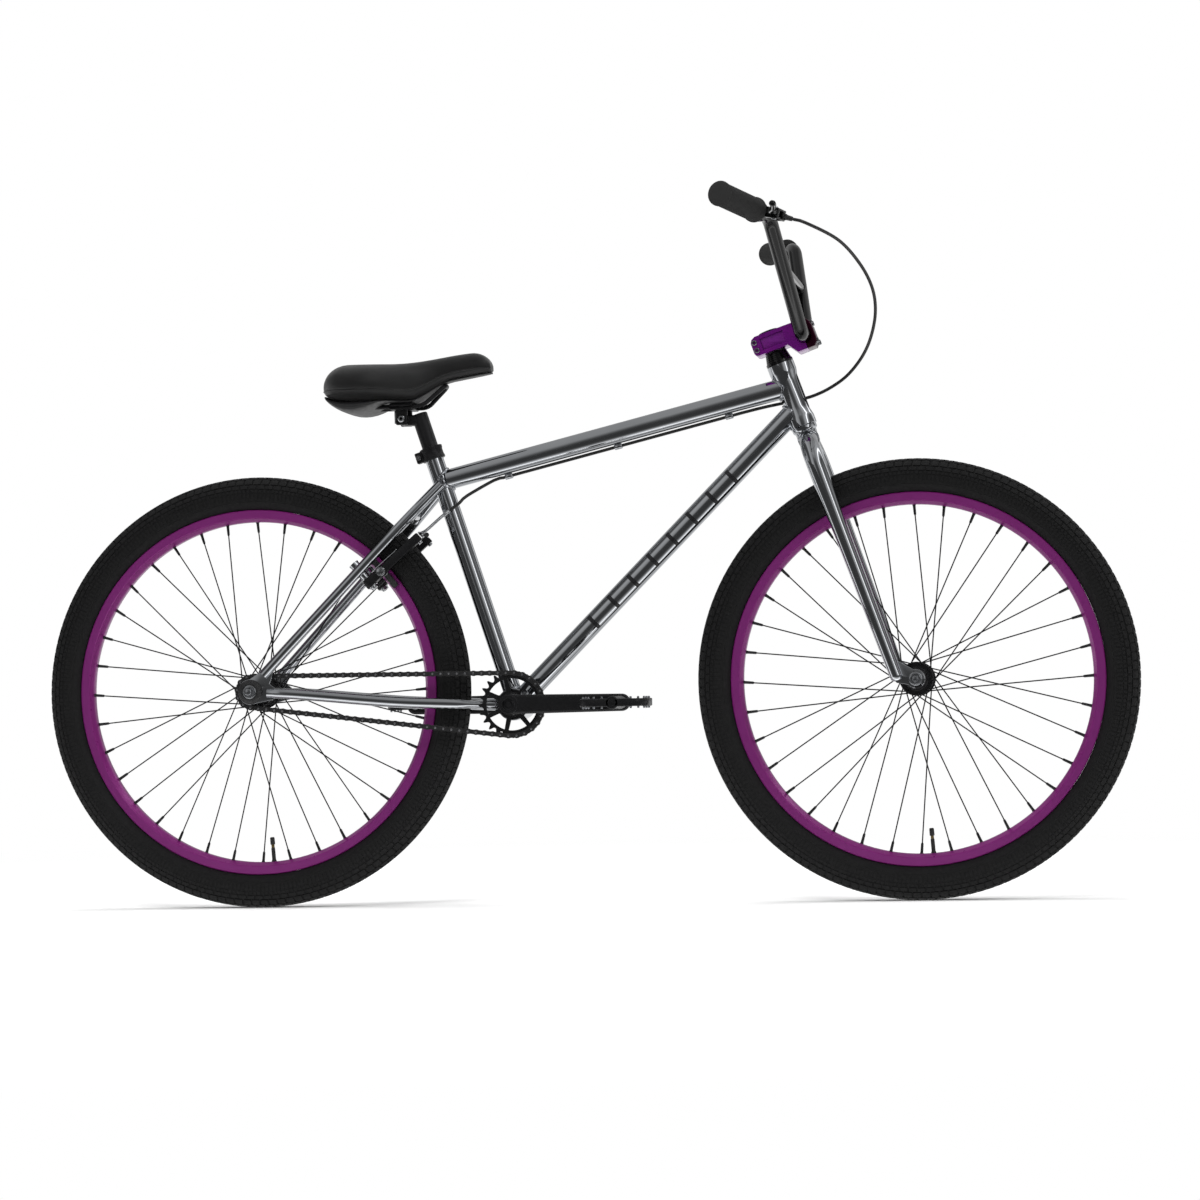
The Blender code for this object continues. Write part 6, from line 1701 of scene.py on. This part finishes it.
class BIKE_OT_brake(bpy.types.Operator):
    """Adds the rear brake's arms, pads, springs, noodle and pull wire"""

    bl_idname = "bike.brake"
    bl_label = "Rear brake"

    def execute(self, context):
        for name, side in SIDES:
            self.arm(name, side)
            self.pad(name, side)
            self.spring(name, side)
        self.noodle()
        return {"FINISHED"}

    def arm(self, name, side):
        pivot = arm_place(side)
        top = BRAKE_ARM
        loop = (circle((0, 0), 0.0095, 14, pi, pi)
                + [(0.0085, 0.010), (0.0072, 0.018), (0.0068, 0.034), (0.0060, 0.060),
                   (0.0050, top - 0.010), (0.0044, top - 0.003), (0.0025, top),
                   (-0.0025, top), (-0.0044, top - 0.003), (-0.0050, top - 0.010),
                   (-0.0056, 0.060), (-0.0062, 0.034), (-0.0070, 0.018), (-0.0088, 0.010)])
        slot = circle((0, 0.0335), 0.0022, 6, 0, pi) + circle((0, 0.0175), 0.0022, 6, pi, pi)
        bm = bmesh.new()
        prism(bm, [loop, circle((0, 0), 0.0043, 24), slot], 0.0138, pivot, Y * side, BRAKE_OUT,
              0.0016, 3)
        body = f"brake_arm_{name}"
        piece(f"{body}_forged", bm, "satin_black", body, (body,))
        bm = bmesh.new()
        place = pivot + BRAKE_OUT * (top - 0.006) + BRAKE_AHEAD * 0.0069
        turned(bm, [(0.0018, 0.0008), (0.0018, 0.0034), (0.0032, 0.0034), (0.0038, 0.0026),
                    (0.0038, 0), (0, 0), (0, 0.0008)], place, BRAKE_AHEAD, 24, closed=False)
        if side == LEFT:
            rod(bm, place - BRAKE_AHEAD * 0.0150, place, 0.0030, 20, bevel=0.0004)
        else:
            turn = Matrix((BRAKE_AHEAD, Y, BRAKE_OUT)).transposed()
            block(bm, arm_place(side, BRAKE_ARM) + BRAKE_OUT * 0.0030 - Y * side * 0.0035,
                  (0.0110, 0.0120, 0.0028), turn, 0.0008)
        piece(f"brake_arm_bolt_{name}", bm, "stainless", body)

    def pad(self, name, side):
        body = f"brake_arm_{name}"
        out = Y * side
        face = RIM_HALF + PAD_CLEARANCE
        centre = REAR_AXLE + BRAKE_OUT * PAD_TRACK
        turn = Matrix((BRAKE_AHEAD, Y, BRAKE_OUT)).transposed()
        bm = bmesh.new()
        for index in range(5):
            along = (index - 2) * 0.0122
            bend = -BRAKE_OUT * (along * along) / (2 * PAD_TRACK)
            block(bm, centre + BRAKE_AHEAD * along + bend + out * (face + 0.0031),
                  (0.0112, 0.0062, 0.0094), turn, 0.0010)
        block(bm, centre + out * (face + 0.0056), (0.0560, 0.0046, 0.0088), turn, 0.0016, 3)
        piece(f"brake_pad_{name}", bm, "pad_rubber", body)
        bm = bmesh.new()
        stud = centre + out * face
        for start, thick, radius in ((0.0085, 0.0018, 0.0072), (0.0105, 0.0014, 0.0060),
                                     (0.0290, 0.0018, 0.0072), (0.0310, 0.0016, 0.0058)):
            turned(bm, [(0.0030, start), (radius - 0.0004, start), (radius, start + 0.0004),
                        (radius, start + thick - 0.0004), (radius - 0.0004, start + thick),
                        (0.0030, start + thick)], stud, out, 32)
        rod(bm, stud + out * 0.007, stud + out * (BRAKE_SPREAD - face + 0.0125), 0.0028, 20)
        prism(bm, [circle((0, 0), 0.0052, 6)], 0.0046, stud + out * 0.0352, BRAKE_AHEAD,
              BRAKE_OUT, 0.0005)
        piece(f"brake_pad_stud_{name}", bm, "stainless", body)

    def spring(self, name, side):
        """A thin steel wire behind the arm, hooked over its stop and wound round the pivot."""
        pivot = arm_place(side)
        back = -BRAKE_AHEAD * 0.0082
        coil = []
        for index in range(26):
            angle = -2 * pi * 1.6 * index / 25
            coil.append(pivot + back * (1 - 0.10 * index / 25)
                        + (Y * side * sin(angle) + BRAKE_OUT * cos(angle)) * 0.0086)
        line = [pivot + back + BRAKE_OUT * along + Y * side * across for along, across in (
            (0.066, 0.0078), (0.064, 0.0050), (0.050, 0.0072), (0.030, 0.0098),
            (0.014, 0.0078))]
        bm = bmesh.new()
        swept(bm, smooth_path(line + coil[2:], 0.003), 0.0008, 8)
        piece(f"brake_spring_{name}", bm, "stainless", f"brake_arm_{name}")

    def noodle(self):
        top = arm_place(0, BRAKE_ARM) + BRAKE_OUT * 0.0050
        tip = top - Y * (BRAKE_SPREAD - 0.006)
        path = smooth_path(noodle_route(), 0.004)
        bm = bmesh.new()
        swept(bm, path, 0.0024, 24)
        first = (path[1] - path[0]).normalized()
        last = (path[-1] - path[-2]).normalized()
        turned(bm, [(0, 0), (0.0012, 0), (0.0030, 0.0040), (0.0032, 0.0060), (0.0024, 0.0066),
                    (0, 0.0066)], path[0] - first * 0.0030, first, 24, closed=False)
        turned(bm, [(0, 0), (0.0024, 0), (0.0036, 0.0008), (0.0036, 0.0098), (0.0032, 0.0104),
                    (0, 0.0104)], path[-1] - last * 0.0100, last, 24, closed=False)
        piece("noodle_pipe", bm, "stainless", "frame", ("brake_noodle",))
        bm = bmesh.new()
        anchor = top + Y * (BRAKE_SPREAD - 0.004) - BRAKE_OUT * 0.0050
        rod(bm, tip, anchor, 0.0009, 12)
        wire_end = anchor + Y * 0.004
        tail = smooth_path([anchor, wire_end + Y * 0.004 - BRAKE_OUT * 0.004,
                            wire_end + Y * 0.008 - BRAKE_OUT * 0.016], 0.003)
        swept(bm, tail, 0.0009, 10)
        ball(bm, tail[-1], 0.0016, 5)
        piece("brake_pull_wire", bm, "stainless", "brake_arm_left")
        bm = bmesh.new()
        length, folds = 0.034, 9
        bellows = [(0.0010, 0.0)]
        for index in range(folds):
            start = 0.001 + (length - 0.002) * index / folds
            bellows += [(0.0026, start), (0.0036, start + (length - 0.002) / folds * 0.5)]
        bellows += [(0.0024, length - 0.001), (0.0010, length)]
        turned(bm, bellows, tip + Y * 0.004, Y, 24)
        piece("brake_wire_boot", bm, "grip_rubber", "brake_arm_left",
              smooth=60)


def noodle_route():
    """The bent guide pipe from the top of the right brake arm to beside the seat tube."""
    top = arm_place(0, BRAKE_ARM) + BRAKE_OUT * 0.0050
    tip = top - Y * (BRAKE_SPREAD - 0.006)
    start = seat(0.318, -(SEAT_TUBE_RADIUS + 0.0095))
    return [tip, tip - Y * 0.016, tip - Y * 0.028 + X * 0.012 + Z * 0.004,
            start + Vector((-0.012, -0.006, -0.010)), start]


class BIKE_OT_cables(bpy.types.Operator):
    """Adds the brake cable along the frame and its free loop to the lever"""

    bl_idname = "bike.cables"
    bl_label = "Cables"

    def execute(self, context):
        pipe = smooth_path(noodle_route(), 0.009)
        last = (pipe[-1] - pipe[-2]).normalized()
        start = pipe[-1]
        guides = [TOP_START + TOP_ALONG * station + TOP_UNDER * CABLE_DROP
                  for station in GUIDES]
        head_side = steer(HEAD_START + 0.045, 0.0, HEAD_RADIUS + 0.0085)
        route = [start + last * 0.0006, start + last * 0.020,
                 guides[0] - TOP_ALONG * 0.070 + TOP_UNDER * 0.014 - Y * 0.014]
        for centre in guides:
            route += [centre + TOP_ALONG * offset for offset in (-0.024, -0.009, 0.009, 0.024)]
        ahead = (head_side - guides[-1]).dot(TOP_ALONG)
        rise = head_side - guides[-1] - TOP_ALONG * ahead
        for share, ease in ((0.52, 0.16), (0.78, 0.60)):
            route.append(guides[-1] + TOP_ALONG * ahead * share + rise * ease)
        route.append(head_side)
        line = smooth_path(route, 0.006)
        bm = bmesh.new()
        swept(bm, line, CABLE_RADIUS, 20)
        piece("cable_along_frame", bm, "cable_jacket", "frame", ("brake_cable_frame",))

        way = (line[-1] - line[-2]).normalized()
        _, finish, finish_way = barrel_end()
        loop = smooth_path([
            head_side + way * 0.0006,
            *[head_side + Vector(step) for step in (
                (0.027, 0.007, 0.007), (0.055, 0.005, 0.019), (0.083, -0.006, 0.037),
                (0.108, -0.026, 0.064), (0.124, -0.052, 0.093), (0.133, -0.085, 0.126),
                (0.131, -0.119, 0.158), (0.116, -0.160, 0.190), (0.088, -0.205, 0.221))],
            finish + finish_way * 0.020, finish + finish_way * 0.0006], 0.006)
        bm = bmesh.new()
        swept(bm, loop, CABLE_RADIUS, 20)
        obj = piece("cable_loop", bm, "cable_jacket", None)
        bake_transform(obj)
        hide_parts("brake_cable_bar")
        return {"FINISHED"}


# ---------------------------------------------------------------- seat

SADDLE_LENGTH, SADDLE_WIDTH, NOSE_WIDTH = 0.260, 0.176, 0.046
SADDLE_REAR = CLAMP_AXIS.x - 0.118
SADDLE_CROWN, SADDLE_EDGE = CLAMP_AXIS.z + 0.086, CLAMP_AXIS.z + 0.028


def eased(share, start, length):
    """0 before start, 1 from start + length on, and smooth between."""
    t = min(1.0, max(0.0, (share - start) / length))
    return t * t * (3 - 2 * t)


def saddle_section(share):
    """Half width, crown height and edge height at a share of the saddle's length."""
    rear, nose = SADDLE_WIDTH / 2, NOSE_WIDTH / 2
    half = rear + (nose - rear) * eased(share, 0.20, 0.52)
    crown = SADDLE_CROWN + 0.015 * eased(share, 0.40, 0.55)
    edge = SADDLE_EDGE + 0.030 * eased(share, 0.50, 0.25) + 0.043 * max(0.0, share - 0.70)
    return half, crown, edge


def end_rounding(share, tail=0.16, tip=0.12):
    """1 along the saddle, falling on a quarter circle to 0 at its tail and its nose."""
    back, front = max(0.0, (tail - share) / tail), max(0.0, (share - 1 + tip) / tip)
    return sqrt(max(0.0, 1 - max(back, front) ** 2))


def saddle_point(share, angle, span, inset=0.0):
    """A point on the saddle's rounded skin, by its share along and its angle round."""
    rounding = end_rounding(share)
    half = (saddle_section(share)[0] - inset) * (0.45 + 0.55 * rounding)
    low, top = span(share, rounding)
    c, s = cos(angle), sin(angle)
    spread = abs(c) ** 0.6 * (1 if c >= 0 else -1)
    rise = abs(s) ** 0.8 * (1 if s >= 0 else -1)
    return Vector((SADDLE_REAR + share * SADDLE_LENGTH, half * spread,
                   (top + low) / 2 + (top - low) / 2 * rise))


def cover_span(share, rounding):
    _, crown, edge = saddle_section(share)
    lift, drop = (0.012, 0.036) if share < 0.5 else (0.0, 0.024)
    return edge + lift * (1 - rounding), crown - drop * (1 - rounding)


def base_span(share, rounding):
    """The shell under the cover: deep behind the clamp and thin over it."""
    edge = cover_span(share, rounding)[0]
    depth = 0.0035 + 0.016 * sin(pi * min(1.0, share / 0.36))
    return edge - depth, edge - 0.0006


class BIKE_OT_saddle(bpy.types.Operator):
    """Adds the saddle's padded cover, seam, base and rails"""

    bl_idname = "bike.saddle"
    bl_label = "Saddle"

    def loft(self, span, inset, steps, sides):
        bm = bmesh.new()
        ring = bmesh.ops.create_circle(bm, segments=sides, radius=1)["verts"]
        first = edges = list({edge for vert in ring for edge in vert.link_edges})
        for step in range(steps + 1):
            share = 0.5 - 0.497 * cos(pi * step / steps)
            if step:
                grown = bmesh.ops.extrude_edge_only(bm, edges=edges)["geom"]
                ring = [part for part in grown if isinstance(part, bmesh.types.BMVert)]
                inside = set(ring)
                edges = [part for part in grown if isinstance(part, bmesh.types.BMEdge)
                         and set(part.verts) <= inside]
                angles = [angles[index] for index in self.order(ring, before)]
            else:
                angles = [atan2(vert.co.y, vert.co.x) for vert in ring]
            before = ring
            for vert, angle in zip(ring, angles):
                vert.co = saddle_point(share, angle, span, inset)
        bmesh.ops.edgeloop_fill(bm, edges=first)
        bmesh.ops.edgeloop_fill(bm, edges=edges)
        return bm

    def order(self, ring, before):
        """Which vertex of the ring before each new one grew from."""
        places = {vert: index for index, vert in enumerate(before)}
        found = []
        for vert in ring:
            for edge in vert.link_edges:
                other = edge.other_vert(vert)
                if other in places:
                    found.append(places[other])
                    break
        return found

    def execute(self, context):
        cover = piece("saddle_pad", self.loft(cover_span, 0.0, 44, 56), "grained_vinyl",
                      "saddle", ("saddle_cover",), smooth=60)
        piece("saddle_shell", self.loft(base_span, 0.010, 40, 44), "nylon", "saddle",
              ("saddle_base",), smooth=60)
        steps = 60
        seam = [saddle_point(0.5 - 0.494 * cos(pi * index / steps), -0.42, cover_span)
                for index in range(steps)]
        bm = bmesh.new()
        swept(bm, seam + [mirrored(point) for point in reversed(seam)], 0.0011, 8,
              closed=True)
        piece("saddle_piping", bm, "grained_vinyl", "saddle", smooth=60)
        self.rails()
        return {"FINISHED"}

    def rails(self):
        route = [Vector((SADDLE_REAR + 0.030, -0.034, RAIL_HEIGHT + 0.0030)),
                 Vector((SADDLE_REAR + 0.050, -0.022, RAIL_HEIGHT)),
                 Vector((SADDLE_REAR + 0.152, -0.022, RAIL_HEIGHT)),
                 Vector((SADDLE_REAR + 0.186, -0.010, RAIL_HEIGHT + 0.031))]
        route += [mirrored(point) for point in reversed(route)]
        path = rounded_path(route, (0.016, 0.024, 0.008, 0.008, 0.024, 0.016), 8)
        bm = bmesh.new()
        swept(bm, path, RAIL_RADIUS, 24)
        piece("saddle_rail_wire", bm, "satin_black", "saddle", ("saddle_rails",))


class BIKE_OT_seatpost(bpy.types.Operator):
    """Adds the seatpost, its saddle clamp and the collar with its bolt"""

    bl_idname = "bike.seatpost"
    bl_label = "Seatpost"

    def execute(self, context):
        bm = bmesh.new()
        foot = SEAT_TUBE_LENGTH - 0.110
        turned(bm, [(0, foot), (POST_RADIUS, foot), (POST_RADIUS, POST_TOP - 0.0016),
                    (0.0123, POST_TOP - 0.0006), (0.0114, POST_TOP), (0, POST_TOP)], BB, SEAT_UP,
               56, closed=False)
        neck = seat(POST_TOP - 0.008)
        middle = (neck + CLAMP_AXIS) / 2 - Z * 0.002
        block(bm, middle, (abs(neck.x - CLAMP_AXIS.x) + 0.006, 0.023, 0.0165), None, 0.0036, 3)
        turned(bm, [(0.0043, -0.014), (0.0092, -0.014), (0.0100, -0.0132), (0.0100, 0.0132),
                    (0.0092, 0.014), (0.0043, 0.014)], CLAMP_AXIS, Y, 48)
        piece("seatpost_tube", bm, "satin_black", "seatpost", ("seatpost",))
        self.yoke()
        self.collar()
        return {"FINISHED"}

    def yoke(self):
        hinge = CLAMP_AXIS
        bm = bmesh.new()
        for offset in (-0.0027, 0.0027):
            block(bm, (hinge.x, 0, RAIL_HEIGHT + offset), (0.036, 0.056, 0.0046), None, 0.0016,
                  3)
        for side in (1, -1):
            block(bm, (hinge.x, side * 0.0185, (hinge.z + RAIL_HEIGHT) / 2 - 0.003),
                  (0.018, 0.0072, RAIL_HEIGHT - hinge.z + 0.013), None, 0.0018, 3)
            turned(bm, [(0, 0), (0.0040, 0), (0.0048, 0.006), (0.0052, 0.011), (0, 0.011)],
                   (hinge.x, side * 0.022, RAIL_HEIGHT - 0.0055), Z, 24, closed=False)
        piece("saddle_clamp_yoke", bm, "satin_black", "saddle", ("saddle_clamp",))
        bm = bmesh.new()
        for side in (1, -1):
            turned(bm, [(0.0024, 0.0012), (0.0024, 0.0040), (0.0044, 0.0040),
                        (0.0054, 0.0032), (0.0058, 0.0004), (0.0058, 0), (0, 0), (0, 0.0012)],
                   (hinge.x, side * 0.0220, hinge.z), Y * side, 28, closed=False)
        rod(bm, hinge - Y * 0.0220, hinge + Y * 0.0220, 0.0038, 24)
        rod(bm, (hinge.x - 0.0125, 0, hinge.z - 0.006), (hinge.x - 0.0125, 0, hinge.z + 0.023),
            0.0030, 20, bevel=0.0004)
        piece("saddle_clamp_bolts", bm, "stainless", "saddle")

    def collar(self):
        base = seat(SEAT_TUBE_LENGTH - 0.020)
        inner = SEAT_TUBE_RADIUS + GAP
        back = -(X - SEAT_UP * X.dot(SEAT_UP)).normalized()
        centre = base + SEAT_UP * 0.010
        bm = bmesh.new()
        turned(bm, [(inner, 0), (inner + 0.0028, 0), (inner + 0.0036, 0.0008),
                    (inner + 0.0034, 0.0040), (inner + 0.0026, 0.0060),
                    (inner + 0.0026, 0.0140), (inner + 0.0034, 0.0160),
                    (inner + 0.0036, 0.0192), (inner + 0.0028, 0.0200), (inner, 0.0200)],
               base, SEAT_UP, 64)
        turn = Matrix((Y, back, SEAT_UP)).transposed()
        for side in (1, -1):
            block(bm, centre + back * (inner + 0.0066) + Y * side * 0.0038,
                  (0.0056, 0.0112, 0.0168), turn, 0.0014, 3)
        piece("seat_collar", bm, "satin_black", "frame", ("seat_clamp",))
        bm = bmesh.new()
        place = centre + back * (inner + 0.0072)
        rod(bm, place - Y * 0.0100, place + Y * 0.0100, 0.0026, 20)
        turned(bm, [(0.0018, 0.0010), (0.0018, 0.0034), (0.0034, 0.0034), (0.0040, 0.0028),
                    (0.0040, 0), (0, 0), (0, 0.0010)], place - Y * 0.0066, -Y, 24,
               closed=False)
        turned(bm, [(0, 0), (0.0042, 0), (0.0042, 0.0030), (0.0034, 0.0036), (0, 0.0036)],
               place + Y * 0.0066, Y, 6, closed=False)
        piece("seat_collar_bolt", bm, "stainless", "frame")


# ---------------------------------------------------------------- interface


class BIKE_PT_panel(bpy.types.Panel):
    """Lists the bike's sizes, colours and pieces"""

    bl_idname = "BIKE_PT_panel"
    bl_label = "BMX cruiser"
    bl_space_type = "VIEW_3D"
    bl_region_type = "UI"
    bl_category = "Bike"

    def draw(self, context):
        for group in (context.scene.bike_wheels, context.scene.bike_finish,
                      context.scene.bike_steering):
            box = self.layout.box()
            for name in group.__annotations__:
                box.prop(group, name)
        for operator in OPERATORS:
            self.layout.operator(operator.bl_idname)


SETTINGS = {
    "bike_wheels": BikeWheelSettings,
    "bike_finish": BikeFinishSettings,
    "bike_steering": BikeSteeringSettings,
}
OPERATORS = (
    BIKE_OT_stage, BIKE_OT_main_tubes, BIKE_OT_rear_triangle, BIKE_OT_welds,
    BIKE_OT_frame_fittings, BIKE_OT_tyres, BIKE_OT_rims, BIKE_OT_spokes, BIKE_OT_hubs,
    BIKE_OT_drive, BIKE_OT_cranks, BIKE_OT_pedals, BIKE_OT_fork, BIKE_OT_headset,
    BIKE_OT_stem, BIKE_OT_handlebar, BIKE_OT_lever, BIKE_OT_brake, BIKE_OT_cables,
    BIKE_OT_seatpost, BIKE_OT_saddle,
)
CLASSES = (*SETTINGS.values(), *OPERATORS, BIKE_PT_panel)


def register():
    for made in CLASSES:
        bpy.utils.register_class(made)
    for name, group in SETTINGS.items():
        setattr(bpy.types.Scene, name, PointerProperty(type=group))


def unregister():
    for name in SETTINGS:
        delattr(bpy.types.Scene, name)
    for made in reversed(CLASSES):
        bpy.utils.unregister_class(made)


def main():
    register()
    for operator in OPERATORS:
        family, name = operator.bl_idname.split(".")
        getattr(getattr(bpy.ops, family), name)()


if __name__ == "__main__":
    main()
